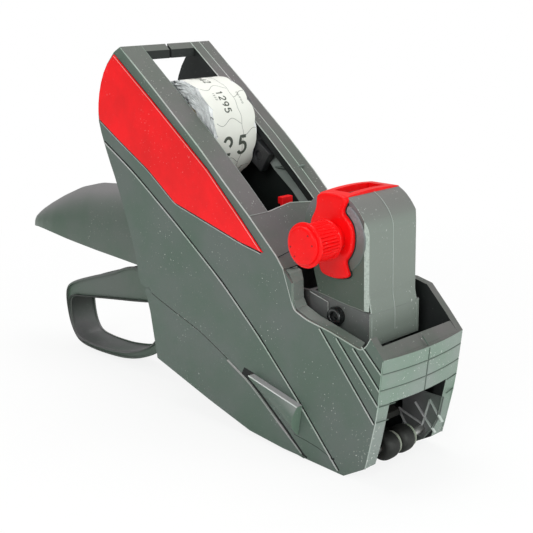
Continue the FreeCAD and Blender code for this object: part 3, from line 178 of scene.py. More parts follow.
def moulded(name, colour, roughness, grain=0.25, grain_scale=2600.0, specks=0.0, wear=0.0, gloss=0.45,
            front=None, top=None, corner_highlight=None, shoulder=None, shoulder_span=HEAD_SHOULDER):
    """Plastic: tone varies by a broad noise, grain is fine noise as bump, specks are a noise's peaks.

    Faces turned to +X and +Z fade to the front and top colours, which are painted light; edges between X and
    Y take the corner_highlight colour, a painted highlight; and everything above the shoulder's span of
    heights takes the shoulder colour, painted light on the head and painted shade in the lever's loop.
    """
    made = Finish(name)
    broad = made.noise(38.0, 4.0, 0.6)
    tone = made.mix(broad.above(0.3, 0.7), scaled(colour, 0.80, 0.95, 0.84), scaled(colour, 1.12, 1.05, 1.10))
    # The shoulder colour is painted by height: painted light on the head, painted shade in the lever's loop.
    if shoulder:
        tone = made.mix(made.along("Z").above(*shoulder_span), tone, shoulder)
    # The front and top colours are painted light, chosen by the direction a face turns.
    if front:
        tone = made.mix(made.turned_to("X").above(0.35, 0.9), tone, front)
        tone = made.mix(made.turned_to("Z").above(0.15, 0.8), tone, top)
    # The corner highlight is a painted highlight on the edges between the front and the sides, broken into
    # patches.
    if corner_highlight:
        corner = made.turned_to("X") * made.turned_to("Y").math("ABSOLUTE")
        patches = made.noise(1300.0, 2.0, 0.7).above(0.3, 0.6) * 0.45 + 0.55
        tone = made.mix(corner.above(0.22, 0.36) * patches, tone, corner_highlight)
    nose = made.along("X").above(0.006, 0.024) * 0.05 * wear
    cluster = made.noise(60.0, 2.0, 0.5).above(0.45, 0.65)
    dense_part = (cluster + nose * 4.0 + 0.15).clamp()
    peaks = (made.noise(1250.0, 2.0, 0.6) + nose * cluster).above(0.685, 0.715) * dense_part
    tone = made.mix(peaks * specks, tone, DUST)
    fine = made.noise(grain_scale, 2.0, 0.6)
    made.set(Base_Color=tone, Roughness=(broad * 0.16 + (roughness - 0.08) + peaks * specks * 0.2).clamp())
    made.set(Normal=made.bump(fine, grain, GRAIN_DEPTH), Specular_IOR_Level=gloss)
    print("finish:", name)
    return made.material


BODY = moulded("body_grey", (0.104, 0.131, 0.116), 0.50, grain=0.3, specks=0.7, wear=1.0)
# Lit copies of the body grey: the top copy is painted light from above, warmer, and the front copy is painted
# light on the faces that look forward, paler.
BODY_TOP_LIT = moulded("body_grey_top_lit", (0.122, 0.116, 0.114), 0.5, grain=0.3, specks=0.8)
BODY_FRONT_LIT = moulded("body_grey_front_lit", (0.235, 0.275, 0.252), 0.5, grain=0.55, grain_scale=1500.0,
                     specks=1.0, wear=1.0)
LEVER_GREY = moulded("lever_grey", (0.100, 0.112, 0.105), 0.42, grain=0.2, specks=0.35)
# The head's front, top and shoulder colours are painted light, and its corner colour is a painted highlight.
HEAD_GREY = moulded("head_grey", (0.070, 0.090, 0.074), 0.48, grain=0.3, specks=0.7,
                    front=(0.200, 0.224, 0.202), top=(0.165, 0.162, 0.156), corner_highlight=(0.40, 0.44, 0.41),
                    shoulder=(0.155, 0.160, 0.170))
# The foot block's front and top colours are painted light.
FOOT_GREY = moulded("foot_grey", (0.105, 0.106, 0.107), 0.36, grain=0.2, specks=0.4,
                    front=(0.200, 0.222, 0.202), top=(0.12, 0.12, 0.12))
HUB_BLACK = moulded("hub_black", (0.030, 0.030, 0.033), 0.30, grain=0.1, specks=0.2, gloss=0.6)
# The inner faces of the shell are painted near black as painted shade.
INSIDE_SHADE = moulded("shell_inside_shade", (0.014, 0.015, 0.016), 0.6, grain=0.2, specks=0.15)
# The pale and soft edge colours are painted highlights for the lips, lands and lines of the moulding.
PALE_EDGE_HIGHLIGHT = moulded("pale_edge_highlight", (0.44, 0.45, 0.44), 0.45, grain=0.2, specks=0.6)
SOFT_EDGE_HIGHLIGHT = moulded("soft_edge_highlight", (0.24, 0.255, 0.245), 0.45, grain=0.2, specks=0.4)
SHADOW_GAP = moulded("shadow_gap", (0.008, 0.009, 0.009), 0.7, grain=0.1)
RED = moulded("red_panel", (1.0, 0.008, 0.012), 0.42, grain=0.1, grain_scale=1500.0, specks=0.2, gloss=0.2)
RED_KNOB = moulded("red_knob", (1.0, 0.004, 0.006), 0.3, grain=0.04, grain_scale=1500.0, specks=0.15,
                   gloss=0.18)
# A painted highlight along the upper rim of the red panels.
RED_EDGE_HIGHLIGHT = moulded("red_edge_highlight", (1.0, 0.30, 0.30), 0.35, grain=0.05, gloss=0.4)
BLACK = moulded("black_plastic", (0.018, 0.018, 0.020), 0.42, grain=0.2, specks=0.35)
WHITE = moulded("white_plastic", (0.78, 0.77, 0.73), 0.35, grain=0.1)

# %% [markdown]
# ## Metal, rubber, paper and card
# The pins and the print bed are drawn steel, so their fine scratches run one way: a noise stretched along
# the pin. Rubber is dull and dark with a soft bloom. Label paper is a warm white with faint fibres.


# %% Metal, rubber and paper finishes
def drawn_steel(name, colour, roughness):
    """Steel with scratches along Y: noise squeezed on Y so that its streaks run across the object."""
    made = Finish(name)
    streak = made.noise(900.0, 3.0, 0.6, stretch=(1.0, 0.04, 1.0))
    made.set(Base_Color=made.mix(streak, scaled(colour, 0.8), colour), Metallic=1.0)
    made.set(Roughness=(streak * 0.2 + roughness).clamp(), Normal=made.bump(streak, 0.15, 0.0001))
    return made.material


def soft_rubber(name, colour, roughness=0.75):
    """Rubber: a broad noise lays a paler bloom over the colour, and a fine noise is the bump."""
    made = Finish(name)
    bloom = made.noise(180.0, 4.0, 0.7)
    made.set(Base_Color=made.mix(bloom.above(0.4, 0.75) * 0.6, colour, tuple(c * 2.2 + 0.01 for c in colour)))
    made.set(Roughness=roughness, Normal=made.bump(made.noise(1500.0, 2.0), 0.3, 0.0001))
    return made.material


def paper(name, colour):
    """Paper: a cloudy noise darkens the colour by a tenth at most, and stretched fibres are the bump."""
    made = Finish(name)
    fibre = made.noise(1400.0, 4.0, 0.7, stretch=(1.0, 0.25, 1.0))
    cloud = made.noise(90.0, 3.0, 0.5)
    made.set(Base_Color=made.mix(cloud.above(0.35, 0.7) * 0.5, colour, scaled(colour, 0.9)))
    made.set(Roughness=0.62, Normal=made.bump(fibre, 0.12, 0.0001), Specular_IOR_Level=0.3)
    return made.material


def clear_plastic(name):
    """A clear moulding of index 1.49 with a slightly uneven surface."""
    made = Finish(name)
    made.set(Base_Color=(0.92, 0.94, 0.94), Roughness=0.12, Transmission_Weight=0.9, IOR=1.49)
    made.set(Normal=made.bump(made.noise(300.0, 2.0), 0.05, 0.0001))
    return made.material


STEEL = drawn_steel("pin_steel", (0.62, 0.61, 0.60), 0.28)
BLACK_STEEL = drawn_steel("black_screw", (0.05, 0.05, 0.055), 0.35)
ROLLER_RUBBER = soft_rubber("roller_rubber", (0.012, 0.012, 0.012))
TYPE_RUBBER = soft_rubber("type_rubber", (0.02, 0.02, 0.022), 0.6)
INK_FOAM = soft_rubber("ink_foam", (0.015, 0.012, 0.03), 0.85)
LABEL_PAPER = paper("label_paper", (0.80, 0.79, 0.75))
CARD = paper("core_card", (0.46, 0.36, 0.25))
# The label web is painted near black as painted shade where it runs inside the body.
WEB_SHADE = paper("label_web_shade", (0.016, 0.015, 0.013))
CLEAR = clear_plastic("window_clear")
print("materials:", len(bpy.data.materials))

# %% [markdown]
# ## Every piece gets its finish
# The record names a material slot for each piece. This table turns those slots into the finishes above, and
# a few pieces that want their own shade are named on their own.

# %% Give the finishes to the pieces
SLOT_FINISH = {
    "body_plastic": BODY, "red_plastic": RED, "black_plastic": BLACK, "white_plastic": WHITE,
    "clear_plastic": CLEAR, "steel": STEEL, "black_steel": BLACK_STEEL, "label_paper": LABEL_PAPER,
    "card": CARD, "type_rubber": TYPE_RUBBER, "soft_rubber": ROLLER_RUBBER, "ink_foam": INK_FOAM,
}
OWN_FINISH = {
    "hand_lever": LEVER_GREY, "grip": LEVER_GREY, "head_cover_right": HEAD_GREY, "head_cover_left": HEAD_GREY,
    "selector_knob": RED_KNOB, "selector_cover": RED_KNOB, "print_arm": FOOT_GREY,
    "roll_hub_right": HUB_BLACK, "roll_hub_left": HUB_BLACK, "roll_arm_pins": HUB_BLACK,
    "print_bed": BLACK_STEEL, "label_web": WEB_SHADE,
}
slot_of = {entry["node"]: entry["material_slot"] for entry in frame["record"]["subparts"]}


def dress(obj, material):
    """Give a piece one material in place of what it had."""
    obj.data.materials.clear()
    obj.data.materials.append(material)


for name, obj in nodes.items():
    dress(obj, OWN_FINISH.get(name, SLOT_FINISH[slot_of[name]]))
print("dressed:", len(nodes))

# %% [markdown]
# ## Moulded edges
# A mould never leaves a razor edge: every rim has a radius of about half a millimetre, and that radius is
# what catches the light along the lands. The larger mechanical pieces are copied, their triangles are
# merged into clean faces, and a bevel rounds every edge that turns by more than 28 degrees. The copy then
# stands for the piece, and the corners of the head are first rolled over on a larger radius.


# %% Round the edges of the moulded pieces
WELD = 0.02
FLAT_ANGLE = math.radians(0.6)
RIM_ANGLE = math.radians(28)
SHARP_ANGLE = math.radians(40)
CORNER_LENGTH = 4.0
CORNER_REACH = 0.4


def merged(work):
    """Join doubled points and give every flat area one face."""
    bmesh.ops.remove_doubles(work, verts=work.verts, dist=WELD * MM)
    bmesh.ops.dissolve_degenerate(work, edges=work.edges, dist=WELD * MM)
    bmesh.ops.dissolve_limit(work, angle_limit=FLAT_ANGLE, verts=work.verts, edges=work.edges)


def rolled_corner(work, x, z, size):
    """Round the long edges across the object that lie within reach of (x, z); returns how many there were."""
    roll = [e for e in work.edges if e.calc_length() > CORNER_LENGTH * MM and all(
        math.hypot(v.co.x / MM - x, v.co.z / MM - z) < CORNER_REACH for v in e.verts)]
    bmesh.ops.bevel(work, geom=roll, offset=size * MM, offset_type="OFFSET", segments=6, profile=0.5,
                    affect="EDGES", clamp_overlap=True)
    return len(roll)


def softened(node, radius, corners=()):
    """A copy of a CAD piece with its faces merged, its (x, z, size) corners rolled and its rims rounded."""
    source = nodes[node]
    mesh = source.data.copy()
    work = bmesh.new()
    work.from_mesh(mesh)
    merged(work)
    for corner in corners:
        print(node, "corner", corner, rolled_corner(work, *corner), "edges")
    work.to_mesh(mesh)
    work.free()
    piece = bpy.data.objects.new(node + "_moulded", mesh)
    bpy.context.collection.objects.link(piece)
    bevel = piece.modifiers.new("rim", "BEVEL")
    bevel.width = radius * MM
    bevel.segments = 3
    bevel.limit_method = "ANGLE"
    bevel.angle_limit = RIM_ANGLE
    mesh.shade_smooth()
    mesh.set_sharp_from_angle(angle=SHARP_ANGLE)
    weighted = piece.modifiers.new("shading", "WEIGHTED_NORMAL")
    weighted.keep_sharp = True
    dress(piece, source.data.materials[0])
    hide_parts(node)
    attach(piece, body_of[node])
    return piece


bodies = frame["record"]["behaviour"]["bodies"]
body_of = {node: body for body, names in bodies.items() for node in names}
EDGE_RADIUS = {
    "housing_right_half": 0.5, "housing_left_half": 0.5, "hand_lever": 1.3, "side_panel_right": 0.35,
    "side_panel_left": 0.35, "head_cover_right": 0.7, "head_cover_left": 0.7, "belly_cover": 0.45,
    "selector_cover": 0.35, "print_arm": 0.25, "roll_hub_right": 0.4, "roll_hub_left": 0.4,
    "label_guide": 0.25, "feed_wheel": 0.25, "head_frame": 0.2, "spring_seat": 0.3,
}
HEAD_ROLL = [(-16.3, 86.0, 3.0), (-12.2, 93.0, 2.0), (6.4, 93.8, 1.5), (10.1, 90.1, 2.2), (12.3, 86.0, 2.3)]
CORNERS = {"head_cover_right": HEAD_ROLL, "head_cover_left": HEAD_ROLL}
moulded_pieces = {name: softened(name, size, CORNERS.get(name, ())) for name, size in EDGE_RADIUS.items()}
print("softened:", len(moulded_pieces))

# %% [markdown]
# ## Faces painted lit and shaded
# The same plastic is given lit and shaded copies. The faces that look up are painted a warmer grey and the
# front ones paler, both painted light, and the faces that look at the seam are painted dark as painted shade.
# Each face is sorted by its normal n: front for n.x above 0.8, top for n.z above 0.45, and inside where n
# points back to y = 0, on the undersides between the walls, and under the bridge.


# %% Sort the faces by direction
FRONT_TURN = 0.8
TOP_TURN = 0.45
BACK_TURN = -0.5
UNDER_TURN = -0.3
CHEEK_HALF = 18.7
UNDER_HALF = 18.0
UNDER_END_X = 20.0
LINTEL_Z = 130.0


def face_vectors(mesh, key):
    """The normals or the centres of all faces as one array."""
    values = np.empty(len(mesh.polygons) * 3)
    mesh.polygons.foreach_get(key, values)
    return values.reshape(-1, 3)


def facing(piece, front, top, inside=None):
    """Slots 1, 2 and 3 go to the front, top and inner faces of a moulded piece; slot 0 keeps the rest."""
    mesh = piece.data
    for finish in (front, top, inside or top):
        mesh.materials.append(finish)
    n, c = face_vectors(mesh, "normal"), face_vectors(mesh, "center") / MM
    # Front and top faces get painted light, inner faces painted shade.
    slot = np.where(n[:, 0] > FRONT_TURN, 1, np.where(n[:, 2] > TOP_TURN, 2, 0))
    if inside:
        half = np.abs(c[:, 1])
        back = (n[:, 1] * np.sign(c[:, 1]) < BACK_TURN) & (half < CHEEK_HALF)
        under = (n[:, 2] < UNDER_TURN) & (half < UNDER_HALF) & (c[:, 0] < UNDER_END_X)
        lintel = (n[:, 0] > FRONT_TURN) & (c[:, 2] > LINTEL_Z)
        slot = np.where(back | under | lintel, 3, slot)
    mesh.polygons.foreach_set("material_index", slot.astype(np.int32))
    print(piece.name, "faces front/top/inside:", *(int((slot == k).sum()) for k in (1, 2, 3)))


for name in ("housing_right_half", "housing_left_half"):
    facing(moulded_pieces[name], BODY_FRONT_LIT, BODY_TOP_LIT, INSIDE_SHADE)
for name in ("belly_cover", "hand_lever"):
    facing(moulded_pieces[name], BODY_FRONT_LIT, BODY_TOP_LIT)

# %% [markdown]
# ## New surfaces from whole arrays
# The fine details are surfaces over a grid of numbers: rows times columns of (x, y, z) points. `surface`
# turns such a grid into a mesh, and `swept` runs a small circle along a line of points, which gives the
# raised and sunk lines of the moulding.


# %% Grid surfaces
CREASE = math.radians(38)


def face_grid(rows, columns, wrap_rows, wrap_columns):
    """Quads between neighbours of a grid; a wrapped direction joins its end to its start."""
    i = np.arange(rows if wrap_rows else rows - 1)
    j = np.arange(columns if wrap_columns else columns - 1)
    a, b = np.meshgrid(i, j, indexing="ij")
    c, d = (a + 1) % rows, (b + 1) % columns
    quads = np.stack([a * columns + b, a * columns + d, c * columns + d, c * columns + b], axis=-1)
    return quads.reshape(-1, 4)


def surface(name, points, faces, material, body="frame", smooth=True):
    """An object from points in millimetres and a list of faces; it rides on a body of the frame."""
    mesh = bpy.data.meshes.new(name)
    mesh.from_pydata((np.asarray(points) * MM).tolist(), [], [list(map(int, f)) for f in faces])
    mesh.update()
    piece = bpy.data.objects.new(name, mesh)
    bpy.context.collection.objects.link(piece)
    if smooth:
        mesh.shade_smooth()
        mesh.set_sharp_from_angle(angle=CREASE)
    dress(piece, material)
    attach(piece, body)
    return piece


def mended(mesh):
    """Turn all faces of a closed mesh outward."""
    work = bmesh.new()
    work.from_mesh(mesh)
    bmesh.ops.recalc_face_normals(work, faces=work.faces)
    work.to_mesh(mesh)
    work.free()


def grid_piece(name, grid, material, body="frame", closed=False, smooth=True):
    """A solid from rows that each run round a section; the rows close into a loop or end in flat faces."""
    rows, columns = grid.shape[:2]
    faces = face_grid(rows, columns, closed, True).tolist()
    if not closed:
        faces += [range(columns), range((rows - 1) * columns, rows * columns)]
    piece = surface(name, grid.reshape(-1, 3), faces, material, body, smooth)
    mended(piece.data)
    print(name, len(piece.data.polygons), "faces")
    return piece


def rounded_rims(piece, radius):
    """A two-step bevel on the rims of a plate or strip."""
    rim = piece.modifiers.new("rim", "BEVEL")
    rim.width = radius * MM
    rim.segments = 2


print("grid helpers ready")

# %% Swept lines and plates
ROD_SIDES = 8
SIDEWAYS = (0.0, 1.0, 0.0)
UPWARD = (0.0, 0.0, 1.0)


def swept(line, radius, across=SIDEWAYS):
    """Points and faces of a rod along a line: p + r (cos a n + sin a b), with n and b square to the line."""
    line = np.asarray(line, dtype=float)
    along = np.gradient(line, axis=0)
    along /= np.linalg.norm(along, axis=1, keepdims=True)
    n = np.cross(along, across)
    n /= np.linalg.norm(n, axis=1, keepdims=True)
    b = np.cross(along, n)
    a = np.linspace(0, 2 * np.pi, ROD_SIDES, endpoint=False)
    ring = n[:, None, :] * np.cos(a)[None, :, None] + b[:, None, :] * np.sin(a)[None, :, None]
    points = (line[:, None, :] + radius * ring).reshape(-1, 3)
    quads = face_grid(len(line), ROD_SIDES, False, True)[:, ::-1].tolist()
    last = (len(line) - 1) * ROD_SIDES
    return points, quads + [range(ROD_SIDES), range(last + ROD_SIDES - 1, last - 1, -1)]


def lines(name, runs, material, body="frame"):
    """One object from many swept runs, each a (line, radius) or a (line, radius, across) tuple."""
    points, faces, count = [], [], 0
    for run in runs:
        more, quads = swept(*run)
        points.append(more)
        faces += [[k + count for k in f] for f in quads]
        count += len(more)
    piece = surface(name, np.concatenate(points), faces, material, body)
    mended(piece.data)
    print(name, len(runs), "runs")
    return piece


def flat_line(points, y, drop=0.0):
    """An (x, z) line at one y, moved square to itself by drop, downward for a line that runs forward."""
    p = np.asarray(points, dtype=float)
    along = np.gradient(p, axis=0)
    along /= np.linalg.norm(along, axis=1, keepdims=True)
    p = p + np.stack([along[:, 1], -along[:, 0]], axis=1) * drop
    return np.stack([p[:, 0], np.full(len(p), y), p[:, 1]], axis=1)


def cross_line(point, *ys):
    """A line across the object through one (x, z) point, given the y of its points."""
    return np.array([(point[0], y, point[1]) for y in ys])


def rounded(points, radius):
    """An (x, z) line whose inner corners b become curves (1 - t)^2 a + 2 t (1 - t) b + t^2 c.

    a and c lie on the two sides, a radius from the corner or 0.45 of the side, whichever is less.
    """
    p = np.asarray(points, dtype=float)
    t = np.linspace(0, 1, 5)[:, None]
    out = [p[:1]]
    for before, corner, after in zip(p[:-2], p[1:-1], p[2:]):
        u, w = before - corner, after - corner
        a = corner + u * min(radius / np.linalg.norm(u), 0.45)
        c = corner + w * min(radius / np.linalg.norm(w), 0.45)
        out.append((1 - t) ** 2 * a + 2 * t * (1 - t) * corner + t ** 2 * c)
    return np.concatenate(out + [p[-1:]])


def slab(name, outline, y0, y1, material, body, bevel=0.2):
    """A plate with an (x, z) outline between two y values, with rounded rims."""
    n = len(outline)
    front = np.column_stack([outline[:, 0], np.full(n, y0), outline[:, 1]])
    back = np.column_stack([outline[:, 0], np.full(n, y1), outline[:, 1]])
    faces = [tuple(range(n)), tuple(range(2 * n - 1, n - 1, -1))]
    faces += [(i, (i + 1) % n, (i + 1) % n + n, i + n) for i in range(n)]
    piece = surface(name, np.concatenate([front, back]), faces, material, body, smooth=False)
    mended(piece.data)
    rounded_rims(piece, bevel)


print("line and plate helpers ready")

# %% [markdown]
# ## Lines of the moulding
# In the photograph every groove of the shell shows as a dark line with a bright lip, because the lip
# catches the lamp. The lips are thin raised beads painted pale as a painted highlight, and the gap round the
# red panel is a dark bead sunk in its joint, painted shadow.

# %% Lips of painted highlight, lands and gaps of the shell
HALF = 21.5
LAND_IN = 12.5
BRIDGE_TOP = (-104.0, 141.6)
DECK_REAR = (-34.9, 85.1)
DECK_INNER = (-36.2, 86.3)
LAND_LINE = [BRIDGE_TOP, (-83.9, 126.1), (-60.3, 107.4), (-45.2, 94.4), DECK_REAR]
LAND_OUT = 17.1
PANEL_FACE = 22.08
RIM_FLARE = (1.1, 1.1, 1.1, 1.1, 0.55, 0.0, 0.0)
DECK_FOLD = (-22.2, 72.8)
DECK_FRONT = (-18.8, 68.6)
BODY_GROOVE = [
    (-119.0, 104.1), (-101.4, 94.2), (-76.7, 77.5), (-50.7, 58.7), (-31.0, 41.5), (-10.6, 21.0), (7.1, 1.6),
]
PANEL_LOW = [
    (-121.0, 112.3), (-109.6, 105.6), (-91.4, 95.5), (-75.9, 84.5), (-60.8, 80.5), (-39.4, 74.8),
    (-29.6, 72.9),
]
PANEL_HIGH = [(-109.0, 138.2), (-87.7, 122.7), (-56.6, 99.3), (-39.3, 83.3), (-29.4, 73.7)]
NEAR_RIM = [
    DECK_FRONT, (-14.7, 57.0), (-13.6, 54.8), (-7.7, 52.6), (3.0, 50.8), (16.5, 47.4), (18.8, 49.2),
    (20.7, 52.4),
]
NOSE_STEPS = [
    ((17.6, 49.4), (25.8, 41.7)), ((13.7, 47.9), (25.2, 35.6)),
    ((6.4, 49.7), (24.5, 30.1)), ((-1.2, 51.3), (23.0, 23.4)),
]


def both_sides(line):
    """A line and its mirror image across the seam."""
    return [line, line * np.array([1.0, -1.0, 1.0])]


groove = rounded(BODY_GROOVE, 8.0)
panel_low = rounded(PANEL_LOW, 3.0)
lips = [(line, 0.3) for line in both_sides(flat_line(groove, -HALF, 0.9))]
lips += [(line, 0.22) for line in both_sides(flat_line(panel_low, -HALF - 0.02, 0.75))]
rim = flat_line(LAND_LINE + [DECK_FOLD, DECK_FRONT], -HALF + 0.15, 0.1)
rim[0, 2] -= 0.2
rim[:, 1] -= RIM_FLARE
lips += [(line, 0.24) for line in both_sides(rim)]
lips += [(flat_line(rounded(NEAR_RIM, 1.5), -HALF + 0.15, 0.12), 0.22)]
lips += [(line, 0.25) for step in NOSE_STEPS for line in both_sides(flat_line(step, -HALF, 0.9))]
for y in (LAND_IN + 0.05, LAND_OUT):
    lips.append((flat_line(LAND_LINE, y, 0.08), 0.2))
deck_edge = [cross_line(DECK_REAR, -LAND_IN), cross_line(DECK_INNER, 0.0), cross_line(DECK_REAR, LAND_IN)]
lips.append((np.concatenate(deck_edge), 0.2, UPWARD))
lines("shell_lips", lips, PALE_EDGE_HIGHLIGHT)

# %% Gaps of painted shadow, rim highlight and soft highlight lines
gaps = [(line, 0.34) for line in both_sides(flat_line(panel_low, -HALF - 0.15, 0.12))]
gaps += [(line, 0.16) for line in both_sides(flat_line(PANEL_HIGH, -HALF + 0.06, -0.1))]
gaps += [(line, 0.2) for line in both_sides(flat_line(groove, -HALF + 0.05, 0.42))]
gaps += [(line, 0.17) for step in NOSE_STEPS for line in both_sides(flat_line(step, -HALF + 0.1, 0.5))]
lines("shell_gaps", gaps, SHADOW_GAP)

rims = [(line, 0.14) for line in both_sides(flat_line(PANEL_HIGH, -PANEL_FACE, 0.4))]
lines("panel_rim_light", rims, RED_EDGE_HIGHLIGHT)

soft = [(flat_line(LAND_LINE, -LAND_IN - 0.05, 0.05), 0.13)]
soft.append((cross_line(DECK_REAR, -HALF, -17.0, -LAND_IN), 0.2, UPWARD))
soft.append((cross_line(DECK_FOLD, -LAND_IN, LAND_IN), 0.12, UPWARD))
lines("shell_soft_lines", soft, SOFT_EDGE_HIGHLIGHT)

# %% [markdown]
# ## Bands across the nose
# The nose wall is bowed from side to side, and shallow steps cross it. Each step is drawn as a dark line of
# painted shade with a soft glint, a painted highlight, under it, and a seam runs down the middle where the
# two halves of the mould meet, drawn as a dark line too.


# %% Bands, glints and the seam of the nose
NOSE_TOP = (26.3, 46.2)
NOSE_BEND = (24.3, 30.0)
NOSE_FOOT = (23.0, 23.4)
BOW = 2.2
LEAN = (NOSE_TOP[0] - NOSE_BEND[0]) / (NOSE_TOP[1] - NOSE_BEND[1])
LEG_LEAN = (NOSE_BEND[0] - NOSE_FOOT[0]) / (NOSE_BEND[1] - NOSE_FOOT[1])
WALL_LEVELS = (41.2, 35.4)
LEG_LEVELS = ((29.5, 5), (23.6, 4))


def nose_arc(z, lift):
    """A line across the nose wall: x = bend + lean (z - bend height) + bow (1 - (y / half)^2) + lift.

    The legs below the bend lean more than the wall above it.
    """
    y = np.linspace(-HALF + 0.3, HALF - 0.3, 25)
    lean = LEAN if z > NOSE_BEND[1] else LEG_LEAN
    x = NOSE_BEND[0] + lean * (z - NOSE_BEND[1]) + BOW * (1 - (y / HALF) ** 2) + lift
    return np.stack([x, y, np.full(len(y), z)], axis=1)


def seam_line(lift):
    """The mould seam down the middle of the nose wall, where y = 0 in the formula of nose_arc."""
    z = np.linspace(30.2, 45.6, 6)
    return np.stack([NOSE_BEND[0] + LEAN * (z - NOSE_BEND[1]) + BOW + lift, np.zeros(6), z], axis=1)


# The dark band colour is painted shade along the steps and the seam of the nose.
BAND_SHADE = moulded("band_shade", (0.085, 0.108, 0.094), 0.6, grain=0.1)
CORNER_DUST_AND_SHEEN = moulded("corner_dust_and_sheen", (0.36, 0.41, 0.38), 0.55, grain=0.4, specks=1.0)
bands = [(nose_arc(z, -0.03), 0.19, UPWARD) for z in WALL_LEVELS]
bands += [(end, 0.19, UPWARD) for z, n in LEG_LEVELS for end in both_sides(nose_arc(z, -0.03)[:n])]
bands.append((seam_line(-0.02), 0.24))
bands.append((np.array([(27.9, 0.0, 46.3), (25.2, 0.0, 49.1)]), 0.22))
lines("nose_bands", bands, BAND_SHADE)
glints = [(nose_arc(z - 0.42, -0.08), 0.16, UPWARD) for z in WALL_LEVELS]
lines("nose_glints", glints, SOFT_EDGE_HIGHLIGHT)
# The pale line down each nose corner is dust specks with a painted highlight on the rounded corner.
NOSE_CORNER = [
    (26.0, 45.6), (25.4, 41.7), (24.7, 35.5), (24.1, 29.8), (22.9, 23.1), (21.1, 15.6), (19.9, 10.6),
    (18.6, 5.6),
]
corners = [(line, 0.2) for line in both_sides(flat_line(NOSE_CORNER, -HALF + 0.12))]
lines("nose_corner_dust_and_sheen", corners, CORNER_DUST_AND_SHEEN)

# %% [markdown]
# ## The latches and the belly seam
# Each thumb latch is ruled between a straight top line and a straight low line. Between them it bulges out
# of the wall by depth = rim (1 - v)^0.6 + swell u^1.3 sin(pi v), with u from rear to front and v from top
# to low. The seam of the belly cover is a pale lip, a painted highlight, with the dark slot of the latches
# below it, painted shadow.

# %% Thumb latches
# The latch's front and top colours are painted light, and the latch line is a painted highlight along its top
# edge.
LATCH_FACE = moulded("latch_face", (0.100, 0.135, 0.113), 0.42, grain=0.2, specks=0.2,
                     front=(0.190, 0.270, 0.215), top=(0.360, 0.350, 0.360))
LATCH_HIGHLIGHT = moulded("latch_highlight", (0.68, 0.67, 0.68), 0.4, grain=0.1)
LATCH_HIGH = ((-34.6, 26.1), (-10.2, 20.6))
LATCH_LOW = ((-36.0, 23.4), (-12.3, 8.7))
LATCH_BASE = 21.6
LATCH_RIM = 2.5
LATCH_SWELL = 2.7
LATCH_STEP = 0.15


def latch_grid(side):
    """Rows from rear to front; columns over the bulge of the cell's formula and back along the wall."""
    u = np.linspace(0, 1, 30)[:, None]
    v = np.concatenate([[0.0], np.linspace(0, 1, 16)])[None, :]
    high = [a * (1 - u) + b * u for a, b in zip(*LATCH_HIGH)]
    low = [a * (1 - u) + b * u for a, b in zip(*LATCH_LOW)]
    x, z = (h * (1 - v) + k * v for h, k in zip(high, low))
    depth = LATCH_RIM * (1 - v) ** 0.6 + LATCH_SWELL * u ** 1.3 * np.sin(np.pi * v) + LATCH_STEP
    depth[:, 0] = 0.0
    depth = np.pad(depth, ((0, 0), (0, 1)))
    x, z = (np.concatenate([g, g[:, -1:]], axis=1) for g in (x, z))
    return np.stack([x, side * (LATCH_BASE + depth), z], axis=-1)


for node, side in (("latch_right", -1.0), ("latch_left", 1.0)):
    grid = latch_grid(side)
    thumb = grid_piece(node + "_wedge", grid, LATCH_FACE, node)
    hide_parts(node)
    # A painted highlight along the latch's top edge.
    lines(node + "_light", [(grid[:, 1] + np.array([0.0, 0.05 * side, -0.05]), 0.24)], LATCH_HIGHLIGHT, node)

# %% The belly seam
BELLY_SEAM = [
    (-48.8, 27.9), (-41.9, 24.4), (-38.1, 22.4), (-33.9, 19.6), (-29.7, 16.4), (-21.4, 10.0), (-15.3, 5.5),
    (-10.6, 1.9),
]
LATCH_SLOT = [
    (-37.6, 23.2), (-31.2, 18.9), (-27.0, 15.6), (-23.2, 12.7), (-18.3, 8.9), (-14.2, 5.4), (-9.6, 1.6),
]
RECESS = np.array([(-41.3, 24.5), (-39.8, 27.3), (-34.4, 26.3), (-36.0, 22.6), (-37.8, 22.9)])
FLOW_LINE = [(-14.6, 8.4), (-12.0, 8.0), (-8.3, 7.6), (-2.8, 6.7), (2.0, 5.2)]
# The pale pink lip of the belly seam is a painted highlight along the cover's top edge.
SEAM_HIGHLIGHT = moulded("seam_pink_highlight", (0.33, 0.315, 0.32), 0.42, grain=0.2, specks=0.3)
seams = both_sides(flat_line(rounded(BELLY_SEAM, 3.0), -HALF - 0.05))
lines("belly_lip", [(line, 0.42) for line in seams], SEAM_HIGHLIGHT, "belly_cover")
slots = [(line, 0.5) for line in both_sides(flat_line(LATCH_SLOT, -HALF + 0.15))]
slots += [(line, 0.3) for line in both_sides(flat_line([(-9.6, 1.6), (-8.2, 1.3)], -HALF))]
slots += [(line, 0.28) for line in both_sides(flat_line([(3.4, 4.7), (4.8, 4.9)], -HALF - 0.05))]
slots += [(line, 0.09) for line in both_sides(flat_line(FLOW_LINE, -HALF))]
lines("belly_slots", slots, SHADOW_GAP)
for side, name in ((-1.0, "recess_right"), (1.0, "recess_left")):
    slab(name, RECESS, side * (HALF - 0.3), side * (HALF + 0.06), SHADOW_GAP, "frame", 0.02)

# %% [markdown]
# ## The label roll
# Each turn of the roll is a strip of labels with a wavy edge. The turns have slightly different lengths, so
# the waves drift from layer to layer and the ends of the roll look ragged, like shingles.

# %% The wound roll with wavy edges
ROLL_X, ROLL_Z = -84.0, 109.0
ROLL_R, CORE_R = 19.95, 11.6
ROLL_HALF = 10.95
WAVES = 12
LAYERS = 24
FACE_STEP = 0.06


